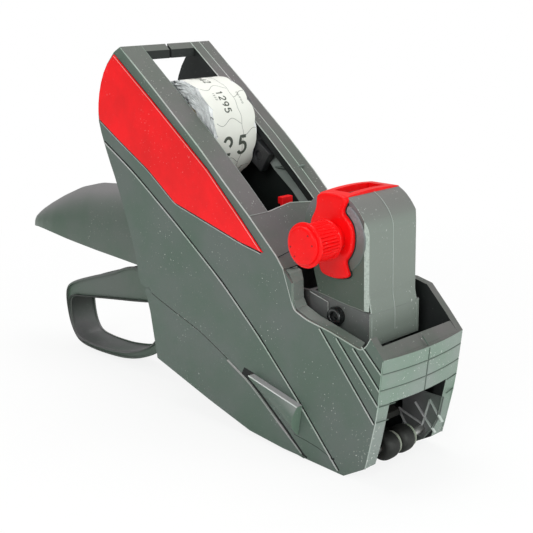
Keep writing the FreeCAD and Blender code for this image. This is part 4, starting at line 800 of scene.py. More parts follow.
def wave(angle, layer):
    """How far an edge is set back, in millimetres: a wave along the strip whose phase drifts by the layer."""
    drift = layer * (layer * 0.37 + 1.9)
    scallop = np.abs(np.sin(WAVES * angle / 2 + drift)) ** 0.6
    return 1.5 * (1 - scallop) + 0.25 * (1 + np.sin(5 * angle + 2.1 * layer)) + 0.02 * layer


def set_back(angle):
    """The wave of every layer twice, once for its outer and once for its inner circle."""
    return np.repeat(np.stack([wave(angle, k) for k in range(LAYERS)]), 2, axis=0)


def roll_surface():
    """A grid of profile by angle: r falls layer by layer on each end face, y is set back by the waves.

    A layer's inner circle lies at 0.96 of its thickness, which leaves a thin step to the next layer.
    """
    angle = np.linspace(0, 2 * np.pi, 312, endpoint=False)
    layer = np.arange(LAYERS)
    outer = ROLL_R - (ROLL_R - CORE_R) * layer / LAYERS
    inner = ROLL_R - (ROLL_R - CORE_R) * (layer + 0.96) / LAYERS
    r_face = np.stack([outer, inner], axis=1).ravel()
    near, far = set_back(angle) - ROLL_HALF, ROLL_HALF - set_back(angle + 0.4)
    r = np.concatenate([r_face[::-1], r_face])
    y = np.concatenate([near[::-1], far])
    x = ROLL_X + r[:, None] * np.cos(angle)
    z = ROLL_Z + r[:, None] * np.sin(angle)
    return np.stack([x, y, z], axis=-1)


def inked_and_shaded_edges(name, colour, ink):
    """Paper with swirls of ink and painted shadow: contour lines of a noise where |n - 0.5| is small, in
    patches.
    """
    made = Finish(name)
    swirl = made.noise(150.0, 2.0, 0.5)
    line = 1 - (swirl - 0.5).math("ABSOLUTE").above(0.006, 0.030)
    patch = made.noise(95.0, 3.0, 0.6).above(0.46, 0.54)
    # Darker patches of painted shade between the layers.
    painted_shade = made.noise(420.0, 3.0, 0.6).above(0.40, 0.62) * 0.35
    shade = made.mix(painted_shade, colour, scaled(colour, 0.55))
    made.set(Base_Color=made.mix(line * patch * 0.9, shade, ink), Roughness=0.6, Specular_IOR_Level=0.3)
    return made.material


# The ends of the roll: the dark swirls are partly print on the label edges and partly painted shadow between
# the layers.
PAPER_EDGE = inked_and_shaded_edges("label_paper_edges", (0.82, 0.82, 0.84), (0.05, 0.055, 0.07))
roll = grid_piece("label_roll_wound", roll_surface(), LABEL_PAPER, "label_roll", closed=True, smooth=False)
roll.data.materials.append(PAPER_EDGE)
centre = face_vectors(roll.data, "center") / MM
reach = np.hypot(centre[:, 0] - ROLL_X, centre[:, 2] - ROLL_Z)
roll.data.polygons.foreach_set("material_index", (reach < ROLL_R - FACE_STEP).astype(np.int32))
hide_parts("label_roll")

# %% [markdown]
# ## Print on the labels
# The cut lines between labels and the numerals are flat strokes laid on the roll. A stroke is drawn as
# (u, v) on flat paper, then wrapped: u runs round the roll and v across it.

# %% Strokes and how they wrap
PRINT_GREY = paper("label_print", (0.075, 0.085, 0.070))
CUT_GREY = paper("label_cut", (0.22, 0.22, 0.21))


def inked(stroke, width):
    """Points and faces of a flat stroke: the line in (u, v) moved by half its width to each side."""
    p = np.asarray(stroke, dtype=float)
    along = np.gradient(p, axis=0)
    along /= np.linalg.norm(along, axis=1, keepdims=True)
    side = np.stack([-along[:, 1], along[:, 0]], axis=1) * width / 2
    points = np.stack([p - side, p + side], axis=1).reshape(-1, 2)
    return points, face_grid(len(p), 2, False, False)


def wrapped(points, radius, start):
    """x = X + r cos(a), z = Z + r sin(a) with a = start - u / r, and y = v."""
    a = start - points[:, 0] / radius
    return np.stack([ROLL_X + radius * np.cos(a), points[:, 1], ROLL_Z + radius * np.sin(a)], axis=1)


def arc(u, v, ru, rv, first, last, count=14):
    """An arc round (u, v) with two radii, between two angles in degrees: u + ru cos a, v + rv sin a."""
    a = np.radians(np.linspace(first, last, count))
    return np.stack([u + ru * np.cos(a), v + rv * np.sin(a)], axis=1)


def dense(points):
    """The same line with a point about every 0.1, so that it bends with the roll."""
    p = np.asarray(points, dtype=float)
    count = [max(2, int(np.hypot(*side) / 0.1)) for side in np.diff(p, axis=0)]
    out = [np.linspace(a, b, n, endpoint=False) for a, b, n in zip(p[:-1], p[1:], count)]
    return np.concatenate(out + [p[-1:]])


print("stroke helpers ready")

# %% Numerals as strokes in a box 0.6 wide and 1 high
NUMERALS = {
    "0": [arc(0.3, 0.5, 0.26, 0.46, 0, 360, 24)],
    "1": [dense([(0.12, 0.8), (0.32, 0.96), (0.32, 0.04)])],
    "2": [np.concatenate([arc(0.3, 0.7, 0.24, 0.26, 170, -35), dense([(0.06, 0.05), (0.56, 0.05)])])],
    "4": [dense([(0.42, 0.04), (0.42, 0.96), (0.05, 0.32), (0.58, 0.32)])],
    "5": [np.concatenate([dense([(0.5, 0.95), (0.14, 0.95), (0.1, 0.55)]),
                          arc(0.28, 0.34, 0.26, 0.3, 120, -150)])],
    "9": [arc(0.3, 0.68, 0.23, 0.27, 0, 360, 20), dense([(0.53, 0.68), (0.48, 0.3), (0.3, 0.04)])],
}
print("numerals:", *NUMERALS)


def print_on_roll(name, strokes, material, lift, start):
    """One object from many (stroke, width) pairs in flat (u, v) millimetres."""
    points, faces, count = [], [], 0
    for stroke, width in strokes:
        flat, quads = inked(stroke, width)
        points.append(wrapped(flat, ROLL_R + lift, start))
        faces.append(quads + count)
        count += len(flat)
    piece = surface(name, np.concatenate(points), np.concatenate(faces), material, "label_roll", smooth=False)
    depth = piece.modifiers.new("ink", "SOLIDIFY")
    depth.thickness = 0.02 * MM
    print(name, len(strokes), "strokes")


def written(text, u, v, height, width, pitch=0.8, across=False):
    """Strokes of a row of numerals with its foot at (u, v), along the strip or across it."""
    out = []
    for i, digit in enumerate(text):
        for stroke in NUMERALS[digit]:
            x, y = ((stroke + np.array([i * pitch, 0.0])) * height).T
            out.append((np.stack([u - y, v + x] if across else [u + x, v + y], axis=1), width))
    return out


# %% Cut lines between the labels
LABELS = 8
ROLL_ROUND = 2 * math.pi * ROLL_R
LABEL_PITCH = ROLL_ROUND / LABELS
PRINT_START = math.radians(104)
CUT_V = 3.4
CUT_SHIFT = 4.5
CUT_SWAY = 1.3
CUT_SWAY_LENGTH = 10.5
cut_v = np.linspace(-9.2, 10.2, 40)
near_part, far_part = cut_v <= CUT_V, cut_v > CUT_V
sway = CUT_SWAY * np.sin((cut_v - cut_v[0]) * 2 * np.pi / CUT_SWAY_LENGTH)
cuts = []
for k in range(LABELS):
    wavy = k * LABEL_PITCH + sway + np.where(far_part, CUT_SHIFT, 0.0)
    for part in (near_part, far_part):
        cuts.append((np.stack([wavy[part], cut_v[part]], axis=1), 0.17))
round_u = np.linspace(0, ROLL_ROUND * 0.995, 300)
cuts.append((np.stack([round_u, CUT_V + 0.25 * np.sin(round_u * 0.9)], axis=1), 0.15))
print_on_roll("label_cut_lines", cuts, CUT_GREY, 0.02, PRINT_START)

# %% Numerals and dots
digits = []
for k, text in ((0, "5042"), (1, "1295"), (3, "2594"), (4, "9412"), (5, "2145"), (6, "5921"), (7, "4250")):
    digits += written(text, k * LABEL_PITCH + 2.2, -3.6, 3.3, 0.5)
    digits += written("1250", k * LABEL_PITCH + 3.0, -5.6, 0.9, 0.12, pitch=1.1)
    if k % 2:
        dots = [arc(k * LABEL_PITCH + 4.0 + 1.2 * i, 6.6, 0.35, 0.35, 0, 360, 10) for i in range(5)]
        digits += [(dot, 0.12) for dot in dots]
big_u = PRINT_START * ROLL_R + 1.6
digits += written("25", big_u + 6.6, -6.4, 7.4, 1.25, pitch=1.02, across=True)
print_on_roll("label_numerals", digits, PRINT_GREY, 0.04, PRINT_START)

# %% [markdown]
# ## The knob, turned and fluted
# The knob is a surface of revolution about Y. Its radius follows a profile, and over the grip it is cut by
# flutes: r = profile - depth (1 - |cos(n a / 2)|^0.6) gives round ribs with narrow valleys between them.

# %% The fluted selector knob
KNOB_X, KNOB_Z = -0.8, 81.4
FLUTES = 34


def turned_piece(name, profile, angles, x, z, material, body, cut=None):
    """A surface of revolution about Y: (x + r cos a, y, z + r sin a), with cut(y, a) taken off the radius."""
    a = np.linspace(0, 2 * np.pi, angles, endpoint=False)
    y, r = (np.repeat(column[:, None], angles, axis=1) for column in np.transpose(profile))
    if cut:
        r = r - cut(y, a)
    return grid_piece(name, np.stack([x + r * np.cos(a), y, z + r * np.sin(a)], axis=-1), material, body)


def flute_cut(y, a):
    """Flutes between y = -28.2 and -19.6, fading over 0.4 mm at both ends and shallow round the underside."""
    ends = np.clip((y + 28.2) / 0.4, 0, 1) * np.clip((-19.6 - y) / 0.4, 0, 1)
    under = 1 - 0.75 * np.clip((-np.sin(a) - 0.35) / 0.3, 0, 1)
    return 0.62 * ends * under * (1 - np.abs(np.cos(FLUTES * a / 2)) ** 0.6)


knob_profile = [
    (-15.55, 4.0), (-15.6, 5.1), (-18.3, 5.1), (-18.4, 6.3), (-18.55, 6.75), (-18.9, 6.95), (-19.3, 6.95),
    (-19.55, 6.8), (-19.6, 6.6), (-20.0, 6.6), (-24.0, 6.65), (-27.8, 6.7), (-28.2, 6.7), (-28.25, 6.9),
    (-28.4, 7.35), (-28.7, 7.6), (-29.1, 7.68), (-29.45, 7.55), (-29.65, 7.2), (-29.7, 6.9), (-29.72, 6.45),
    (-30.1, 6.5), (-30.5, 6.42), (-30.8, 6.15), (-30.95, 5.7), (-30.98, 5.2), (-30.98, 2.0), (-30.98, 0.4),
]
knob = turned_piece("knob_fluted", knob_profile, FLUTES * 12, KNOB_X, KNOB_Z, RED_KNOB, "selector_knob",
                    flute_cut)
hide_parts("selector_knob")

# %% Four dimples in the knob's face, drawn as dark spots of painted shade
DIMPLE_SHADE = moulded("knob_dimple_shade", (0.20, 0.004, 0.006), 0.6, grain=0.0)
DIMPLE_R = 4.9
dimples = []
for degrees in (52, 10, 190, 232):
    x = KNOB_X + DIMPLE_R * math.cos(math.radians(degrees))
    z = KNOB_Z + DIMPLE_R * math.sin(math.radians(degrees))
    dimples.append((cross_line((x, z), -30.99, -30.9, -30.8), 0.32, UPWARD))
lines("knob_dimples", dimples, DIMPLE_SHADE, "selector_knob")

# %% [markdown]
# ## The red collar round the knob
# The collar is a flat tongue that widens into a ring behind the knob and ends in a tail. Its outline was
# read from the photograph as a few points, and a smooth loop runs through them. Each point p of the loop is
# a cubic of its four neighbours, so the outline has no corners. The rim rolls over in small inward steps.


# %% Smooth outlines and rolled plates
LOOP_STEPS = 8


def smooth_loop(points):
    """A closed curve: (2 b + (c - a) t + (2 a - 5 b + 4 c - d) t^2 + (3 b - a - 3 c + d) t^3) / 2."""
    b = np.asarray(points, dtype=float)[:, None, :]
    a, c, d = np.roll(b, 1, axis=0), np.roll(b, -1, axis=0), np.roll(b, -2, axis=0)
    t = np.linspace(0, 1, LOOP_STEPS, endpoint=False)[None, :, None]
    twice = 2 * b + (c - a) * t + (2 * a - 5 * b + 4 * c - d) * t ** 2 + (3 * b - a - 3 * c + d) * t ** 3
    return (0.5 * twice).reshape(-1, 2)


def loop_normals(loop):
    """Outward unit normals of a closed (x, z) loop that runs clockwise."""
    along = np.roll(loop, -1, axis=0) - np.roll(loop, 1, axis=0)
    out = np.stack([-along[:, 1], along[:, 0]], axis=1)
    return out / np.linalg.norm(out, axis=1, keepdims=True)


def ring(loop, y, inset):
    """The loop at one y, drawn in by inset along its normals."""
    x, z = (loop - loop_normals(loop) * inset).T
    return np.column_stack([x, np.full(len(loop), y), z])


COLLAR = smooth_loop([
    (-8.6, 93.6), (-8.2, 95.0), (-6.4, 95.9), (-3.0, 96.35), (0.6, 96.3), (3.4, 95.7), (4.4, 94.8),
    (4.1, 93.2), (3.3, 91.6), (3.4, 90.2), (5.0, 88.6), (6.6, 86.6), (7.4, 84.0), (7.5, 81.2), (7.0, 78.4),
    (5.8, 76.0), (4.6, 74.4), (4.4, 73.0), (5.0, 71.3), (5.6, 69.6), (4.8, 68.5), (2.4, 67.8), (-0.8, 67.4),
    (-4.2, 67.7), (-6.6, 68.6), (-7.6, 70.4), (-8.6, 73.2), (-10.4, 76.5), (-11.5, 80.3), (-11.7, 84.0),
    (-10.9, 87.0), (-9.5, 89.4), (-8.8, 91.6),
])
COLLAR_ROLL = [(-13.4, 0.0), (-14.7, 0.0), (-15.0, 0.05), (-15.25, 0.2), (-15.42, 0.45), (-15.5, 0.85)]
COLLAR_JOINT = slice(54, 204)
grid_piece("collar_plate", np.stack([ring(COLLAR, *roll) for roll in COLLAR_ROLL]), RED_KNOB, "print_arm")
joint = ring(COLLAR, -13.72, -0.16)[COLLAR_JOINT]
lines("collar_joint", [(joint, 0.3)], SHADOW_GAP, "print_arm")

# %% [markdown]
# ## The top strip
# The strip lies over the head from side to side and carries the reading slot. The mechanical piece makes
# strip and collar in one, so its copy is cut off where the smooth collar begins.


# %% Cut the strip off at the collar
STRIP_END = 13.45


def cut_off(piece, away, place):
    """Remove what lies further than place along the direction away, and close the cut with a flat face."""
    work = bmesh.new()
    work.from_mesh(piece.data)
    geometry = work.verts[:] + work.edges[:] + work.faces[:]
    point = [part * place * MM for part in away]
    cut = bmesh.ops.bisect_plane(work, geom=geometry, plane_co=point, plane_no=away, clear_outer=True)
    bmesh.ops.edgeloop_fill(work, edges=[e for e in cut["geom_cut"] if isinstance(e, bmesh.types.BMEdge)])
    work.to_mesh(piece.data)
    work.free()
    print(piece.name, "cut at", place)


cut_off(moulded_pieces["selector_cover"], (0.0, -1.0, 0.0), STRIP_END)

# %% [markdown]
# ## The print head's face
# Round the knob the head has a shallow raised disc, painted paler toward the top as painted light, with pale
# specks near the top. The front of the head runs down over the foot block as an apron, with a thin pale mould
# seam along its middle.

# %% Disc, apron and seam
HEAD_HALF = 13.5


def disc_painted_light_finish(name):
    """Grey that pales with height as painted light, and pale specks of a noise let through only near the top.
    """
    made = Finish(name)
    height = made.along("Z")
    top_specks = made.noise(900.0, 3.0, 0.7).above(0.35, 0.75) * height.above(0.078, 0.092)
    # The disc pales toward the top as painted light.
    tone = made.mix(height.above(0.070, 0.094), (0.085, 0.106, 0.092), (0.21, 0.215, 0.235))
    made.set(Base_Color=made.mix(top_specks * 0.4, tone, (0.42, 0.42, 0.46)), Roughness=0.5, Specular_IOR_Level=0.4)
    made.set(Normal=made.bump(made.noise(2600.0, 2.0), 0.3, GRAIN_DEPTH))
    return made.material


def strap(name, line, thick, half, material, body):
    """A strip that follows an (x, z) line, with its outer face on the line, a half width to each side."""
    out, inner = flat_line(line, -half), flat_line(line, -half, thick)
    far = np.array([0.0, 2 * half, 0.0])
    piece = grid_piece(name, np.stack([out, out + far, inner + far, inner], axis=1), material, body)
    rounded_rims(piece, 0.25)


disc_profile = [(-13.3, 12.4), (-13.62, 12.4), (-13.75, 12.25), (-13.78, 11.9), (-13.78, 9.0), (-13.78, 3.0)]
turned_piece("head_disc", disc_profile, 120, KNOB_X, KNOB_Z, disc_painted_light_finish("head_disc"), "print_arm")
APRON = rounded([(12.33, 63.5), (12.36, 61.0), (13.36, 56.8), (13.42, 45.4)], 2.5)
strap("head_apron", APRON, 0.7, 12.2, HEAD_GREY, "print_arm")
SEAM_PALE = moulded("seam_pale", (0.36, 0.38, 0.365), 0.45, grain=0.1)
HEAD_SEAM = [
    (3.8, 95.45), (6.5, 93.85), (8.4, 92.1), (10.2, 90.1), (11.5, 87.8), (12.3, 85.4), (12.36, 61.5),
    (13.36, 56.9), (13.44, 49.0),
]
FOOT_LIP = [(12.0, 57.6), (3.9, 58.4), (-9.2, 60.3)]
lines("head_seam", [(flat_line(rounded(HEAD_SEAM, 1.5), 0.0), 0.13)], SEAM_PALE, "print_arm")
lines("head_foot_lip", [(flat_line(FOOT_LIP, -HEAD_HALF, 0.1), 0.12)], SOFT_EDGE_HIGHLIGHT, "print_arm")

# %% [markdown]
# ## The foot block and its screws
# A thin flap covers the rear of the foot block, and a socket screw with a knurled head holds the cage. The
# head is a turned surface whose radius has a fine tooth, r = r0 - 0.12 |sin(14 a)|, and a round socket sunk
# in it.

# %% Flaps
FLAP_OUTLINE = np.array([(-13.5, 59.9), (-4.9, 57.9), (-4.9, 46.2), (-13.5, 46.2)])
FLAP_LIP = [(-4.9, 46.4), (-4.9, 52.0), (-4.9, 57.8), (-13.4, 59.9)]
slab("foot_flap_right", FLAP_OUTLINE, -13.75, -13.2, FOOT_GREY, "print_arm")
slab("foot_flap_left", FLAP_OUTLINE, 13.2, 13.75, FOOT_GREY, "print_arm")
lines("foot_flap_lip", [(flat_line(FLAP_LIP, -13.7), 0.13)], PALE_EDGE_HIGHLIGHT, "print_arm")

# %% Socket screws
SCREW_X, SCREW_Z = -0.6, 53.9
GLOSS_BLACK = moulded("gloss_black", (0.006, 0.006, 0.007), 0.14, grain=0.0, gloss=0.8)


def knurl(y, a):
    """The tooth of the head's side, for the profile's rows between 13.9 and 15.6 mm from the seam."""
    return 0.12 * np.abs(np.sin(14 * a)) * (np.abs(y) < 15.6) * (np.abs(y) > 13.9)


screw_profile = [
    (13.2, 3.1), (15.5, 3.1), (15.85, 2.9), (15.95, 2.6), (15.95, 1.8), (15.8, 1.6), (14.9, 1.55),
    (14.9, 0.1),
]
for name, side in (("screw_head_right", -1), ("screw_head_left", 1)):
    profile = [(side * y, r) for y, r in screw_profile]
    turned_piece(name, profile, 84, SCREW_X, SCREW_Z, GLOSS_BLACK, "print_arm", knurl)

# %% [markdown]
# ## Ribs and flanges inside the shell
# A thin shell is stiffened where it can't be seen: a flange turns inward round the low cut-out, ribs cross
# the inside of the far leg, and a long gusset runs down the far wall of the bay. A `ribbon` is ruled
# between two lines of points, s a + (1 - s) b, and gets its thickness square to both directions.


# %% Ruled ribbons
def ribbon(name, first, second, thick, material, rim=0.2):
    """A strip ruled between two lines of (x, y, z) points, thickened along the cross product of both ways."""
    a, b = np.asarray(first, dtype=float), np.asarray(second, dtype=float)
    along = np.gradient((a + b) / 2, axis=0)
    depth = np.cross(along, b - a)
    depth *= thick / np.linalg.norm(depth, axis=1, keepdims=True)
    grid = np.stack([a, b, b + depth, a + depth], axis=1)
    rounded_rims(grid_piece(name, grid, material, smooth=False), rim)


def at(y, *points):
    """Points (x, z) set at one y."""
    return [(x, y, z) for x, z in points]


FLANGE_GREY = moulded("flange_grey", (0.135, 0.148, 0.140), 0.5, grain=0.5, grain_scale=1500.0, specks=1.0)
RIB_GREY = moulded("rib_grey", (0.16, 0.162, 0.165), 0.45, grain=0.3, specks=0.3)
LEG_GREY = moulded("leg_grey", (0.185, 0.187, 0.19), 0.5, grain=0.3, specks=0.3)
LEG_RIB = moulded("leg_rib", (0.62, 0.625, 0.63), 0.4, grain=0.2, specks=0.3)
FLANGE_OUT = [
    (-18.2, 68.4), (-16.6, 67.0), (-14.6, 64.0), (-14.6, 57.6), (-13.4, 55.2), (-7.6, 52.9), (3.0, 51.0),
    (15.6, 47.7),
]
FLANGE_IN = [
    (-16.6, 69.2), (-14.2, 68.2), (-13.3, 65.0), (-13.2, 58.6), (-11.6, 56.0), (-5.4, 53.6), (5.0, 51.0),
    (14.6, 48.6),
]
ribbon("cutout_flange", at(-20.6, *FLANGE_OUT), at(-16.9, *FLANGE_IN), -1.0, FLANGE_GREY)
folds = [((-18.6, -21.2, 68.6), (-15.4, -17.2, 68.9)), ((-21.8, -20.9, 72.2), (-20.6, -14.2, 74.0))]
lines("cutout_folds", [(fold, 0.16, UPWARD) for fold in folds], SHADOW_GAP)

# %% Ribs of the far leg
LEG_Y = 14.5
LEG_SHIFT = 2.4
LEG_RIB_DEPTH = 1.2
leg_bars = [
    [(8.6, 16.8), (12.5, 12.6), (17.7, 7.4)],
    [(15.0, 19.6), (20.7, 12.4)],
    [(15.0, 19.4), (12.8, 12.0), (11.4, 7.6), (7.8, 2.6)],
    [(1.0, 11.9), (5.8, 5.2)],
    [(1.0, 12.2), (12.0, 9.2)],
    [(20.2, 22.0), (18.6, 14.0), (16.2, 9.4), (12.8, 4.6), (8.4, 1.8)],
]
for k, bar in enumerate(leg_bars):
    bar = [(x + LEG_SHIFT, z) for x, z in bar]
    front_bar = k == len(leg_bars) - 1
    ribbon(f"leg_rib_{k + 1}", at(LEG_Y, *bar), at(LEG_Y + LEG_RIB_DEPTH, *bar), 0.5,
           FLANGE_GREY if front_bar else LEG_RIB, rim=0.1)
panel = np.array([(3.0, 22.0), (21.4, 22.0), (19.8, 14.0), (17.2, 9.0), (13.6, 4.5), (9.0, 2.0), (3.0, 2.0)])
slab("leg_web_plate", panel + np.array([LEG_SHIFT - 0.3, 0.0]), 15.3, 15.7, LEG_GREY, "frame", 0.1)

# %% Gusset and rim of the bay
GUSSET = [(-84.0, 121.0), (-58.6, 93.8), (-49.0, 86.6), (-43.0, 80.6)]
ribbon("bay_gusset", at(14.6, *GUSSET), at(18.8, *[(x + 4.0, z + 3.4) for x, z in GUSSET]), 0.8, RIB_GREY)
SHELF_IN, SHELF_OUT = [(-59.5, 94.6), (-48.0, 95.4)], [(-59.5, 94.8), (-46.0, 96.4)]
ribbon("bay_shelf", at(14.4, *SHELF_IN), at(18.8, *SHELF_OUT), 0.7, RIB_GREY)

# %% [markdown]
# ## The roller under the nose
# Two soft barrels turn on one thin axle, each closed by a pale ring. The barrels roll off at their ends:
# r = r0 - k s^4 with s from -1 to 1 along the barrel, so their rims are round and the waist between them is
# low.


# %% The roller
ROLLER_X, ROLLER_Z = 14.0, 7.5
BARREL_R = 4.95
BARREL_DROP = 1.0


def barrel(y0, y1):
    """Profile of one barrel between two y values."""
    return [(y0 + (y1 - y0) * (s + 1) / 2, BARREL_R - BARREL_DROP * s ** 4) for s in np.linspace(-1, 1, 14)]


roller_profile = [
    (-8.9, 1.7), (-8.9, 3.4), *barrel(-8.7, -1.9), (-1.6, 3.1), (-0.4, 3.0), *barrel(-0.2, 6.4),
    (6.7, 3.0), (8.9, 2.6), (8.9, 1.7),
]
RUBBER_BLOOM = soft_rubber("roller_bloom", (0.007, 0.007, 0.006), 0.55)
roller = turned_piece("nose_roller", roller_profile, 96, ROLLER_X, ROLLER_Z, RUBBER_BLOOM,
                      "application_roller")
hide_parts("application_roller")
RING_GREY = moulded("ring_grey", (0.34, 0.325, 0.29), 0.4, grain=0.1)
for k, y in enumerate((-1.8, 6.5)):
    profile = [(y, 3.0), (y, 3.9), (y + 0.2, 4.15), (y + 0.7, 4.15), (y + 1.0, 3.9), (y + 1.0, 3.0)]
    turned_piece(f"roller_ring_{k + 1}", profile, 64, ROLLER_X, ROLLER_Z, RING_GREY, "application_roller")

# %% [markdown]
# ## The rear grip
# The grip is a saddle shape: flat flanks that roll over into a crown, and a tip that is round seen from
# above. Each cross-section is a superellipse, y = w cos(t)^p and z = low + (high - low) sin(t)^p with p
# below 1, and a straight channel underneath leaves room for the lever.

# %% The grip's surface
GRIP_X = [
    -208.2, -207.6, -206.2, -203.6, -199.8, -195.0, -188.0, -178.0, -166.0, -154.0, -142.0, -128.0, -116.0,
    -101.5,
]
GRIP_HALF = [0.6, 1.8, 3.2, 5.0, 6.8, 8.6, 10.4, 11.8, 12.2, 12.5, 12.7, 12.9, 13.0, 13.1]
GRIP_HIGH = [55.0, 56.4, 58.0, 59.6, 61.6, 64.1, 67.5, 72.0, 76.7, 79.6, 80.6, 82.6, 84.0, 85.0]
GRIP_LOW = [53.9, 53.7, 53.6, 53.7, 54.4, 55.2, 55.6, 55.4, 54.4, 53.7, 53.0, 52.4, 51.8, 50.9]
FRONT_Z = [50.8, 58.1, 69.1, 87.3]
FRONT_X = [-101.3, -102.2, -105.7, -112.4]
HOLLOW_X = [-198.0, -196.0, -188.0, -171.1, -142.4, -118.0, -99.0]
HOLLOW_Z = [56.4, 58.0, 65.0, 71.8, 77.0, 79.5, 80.0]
GRIP_CHANNEL = 8.0
GRIP_POWER = 0.86
GRIP_WALL = 1.2
GRIP_ROOF_WALL = 2.0


def grip_surface():
    """Rows along x; columns go over the crown from rim to rim and back through the channel underneath.

    The rows crowd toward the tip as u^1.7. The channel's roof stays a wall's thickness below the shell, whose
    height at the channel's side is low + (high - low) (1 - (channel / half)^(2 / p))^(p / 2).
    """
    power = GRIP_POWER
    spread = np.linspace(0, 1, 90) ** 1.7
    x = GRIP_X[0] + (GRIP_X[-1] - GRIP_X[0]) * spread
    half, high, low = (np.interp(x, GRIP_X, row) for row in (GRIP_HALF, GRIP_HIGH, GRIP_LOW))
    t = np.linspace(0, np.pi, 40)
    y = half[:, None] * np.sign(np.cos(t)) * np.abs(np.cos(t)) ** power
    z = low[:, None] + (high - low)[:, None] * np.sin(t).clip(0) ** power
    channel = np.minimum(GRIP_CHANNEL, half * 0.7)
    roof = np.clip(np.interp(x, HOLLOW_X, HOLLOW_Z), low + 0.2, np.maximum(high - GRIP_ROOF_WALL, low + 0.3))
    reach = (channel / half) ** (1 / power)
    shell = low + (high - low) * (1 - reach ** 2) ** (power / 2)
    roof = np.minimum(roof, np.maximum(shell - GRIP_WALL, low + 0.2))
    inner_y = np.stack([-channel, -channel, channel, channel], axis=1)
    inner_z = np.stack([low, roof, roof, low], axis=1)
    y, z = np.hstack([y, inner_y]), np.hstack([z, inner_z])
    x = np.minimum(np.repeat(x[:, None], y.shape[1], axis=1), np.interp(z, FRONT_Z, FRONT_X))
    return np.stack([x, y, z], axis=-1)


# The grip's front and top colours are painted light, the top as a painted highlight on the crown.
GRIP_GREY = moulded("grip_grey", (0.088, 0.112, 0.095), 0.42, grain=0.2, specks=0.3, front=(0.12, 0.13, 0.12),
                    top=(0.200, 0.190, 0.195))
grip = grid_piece("grip_saddle", grip_surface(), GRIP_GREY)
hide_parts("grip")

# %% [markdown]
# ## The lever's finger loop
# The loop is a band that runs round two outlines, an outer and an inner one, point for point. Its section
# is a rounded box: every corner of the section is cut back along a small quarter turn.

# %% The loop's surface
LOOP_OUTER = [
    (-98.0, 46.0), (-112.0, 48.6), (-127.0, 47.2), (-140.0, 42.6), (-155.0, 38.0), (-167.0, 34.0),
    (-173.5, 31.2), (-176.6, 28.4), (-177.6, 24.0), (-177.0, 18.0), (-175.2, 12.0), (-171.8, 6.0),
    (-166.6, 3.3), (-157.0, 2.4), (-145.0, 2.6), (-133.0, 3.8), (-122.0, 6.6), (-110.0, 12.2),
    (-102.0, 20.0), (-94.0, 33.0),
]
LOOP_INNER = [
    (-111.0, 33.8), (-117.0, 33.0), (-126.0, 31.6), (-136.0, 30.2), (-150.0, 28.2), (-163.0, 26.2),
    (-170.0, 25.2), (-173.4, 23.6), (-174.6, 20.6), (-174.3, 14.5), (-172.6, 8.6), (-168.8, 5.7),
    (-161.0, 4.8), (-152.0, 4.9), (-142.0, 5.7), (-130.0, 8.0), (-118.0, 12.4), (-111.6, 17.4),
    (-108.8, 22.6), (-108.2, 29.0),
]
LOOP_HALF = 7.5
LOOP_CORNER = 1.1
SECTION_STEPS = 4
INNER_COLUMNS = range(5, 10)


def loop_band():
    """Rows round the loop; columns round a box from the outer line (s = 0) to the inner line (s = 1).

    A point of the section is a (1 - s) + b s, and each corner is cut back by corner (1 - sin t) toward the
    other line and by corner (1 - cos t) across the band, with t over a quarter turn.
    """
    a, b = smooth_loop(LOOP_OUTER), smooth_loop(LOOP_INNER)
    span = np.linalg.norm(b - a, axis=1)
    t = np.linspace(0, np.pi / 2, SECTION_STEPS)
    cut = LOOP_CORNER * (1 - np.sin(t))
    edge = LOOP_HALF - LOOP_CORNER * (1 - np.cos(t))
    depth = np.concatenate([cut, -cut[::-1], -cut, cut[::-1]])
    base = np.repeat([0.0, 1.0, 1.0, 0.0], SECTION_STEPS)
    y = np.concatenate([edge, edge[::-1], -edge, -edge[::-1]])
    s = base[None, :] + depth[None, :] / span[:, None]
    spot = a[:, None, :] * (1 - s[..., None]) + b[:, None, :] * s[..., None]
    return np.stack([spot[..., 0], np.repeat(y[None, :], len(a), axis=0), spot[..., 1]], axis=-1)


# %% The loop joins the lever's front part
LEVER_CUT = 99.0
LOOP_SHADE = moulded("loop_shade", (0.135, 0.128, 0.134), 0.42, grain=0.2, specks=0.3,
                     shoulder=(0.010, 0.016, 0.011), shoulder_span=(0.010, 0.023))
cut_off(moulded_pieces["hand_lever"], (-1.0, 0.0, 0.0), LEVER_CUT)
loop = grid_piece("lever_loop", loop_band(), GRIP_GREY, "hand_lever", closed=True)
loop.data.materials.append(LOOP_SHADE)
for face in loop.data.polygons:
    face.material_index = int(face.index % (4 * SECTION_STEPS) in INNER_COLUMNS)

# %% [markdown]
# ## The room and the camera
# The labeler stands on a plain pale floor under three large soft lamps and a bright sky, as in a small
# photo tent. The camera's place was solved from the photograph, in the frame's own metres.

# %% Floor, lamps and world
FLOOR_HALF = 3.0
FLOOR_LIFT = 0.86
LIFT_SPAN = (0.16, 0.42)
MIDDLE = (-0.06, 0.0, 0.07)


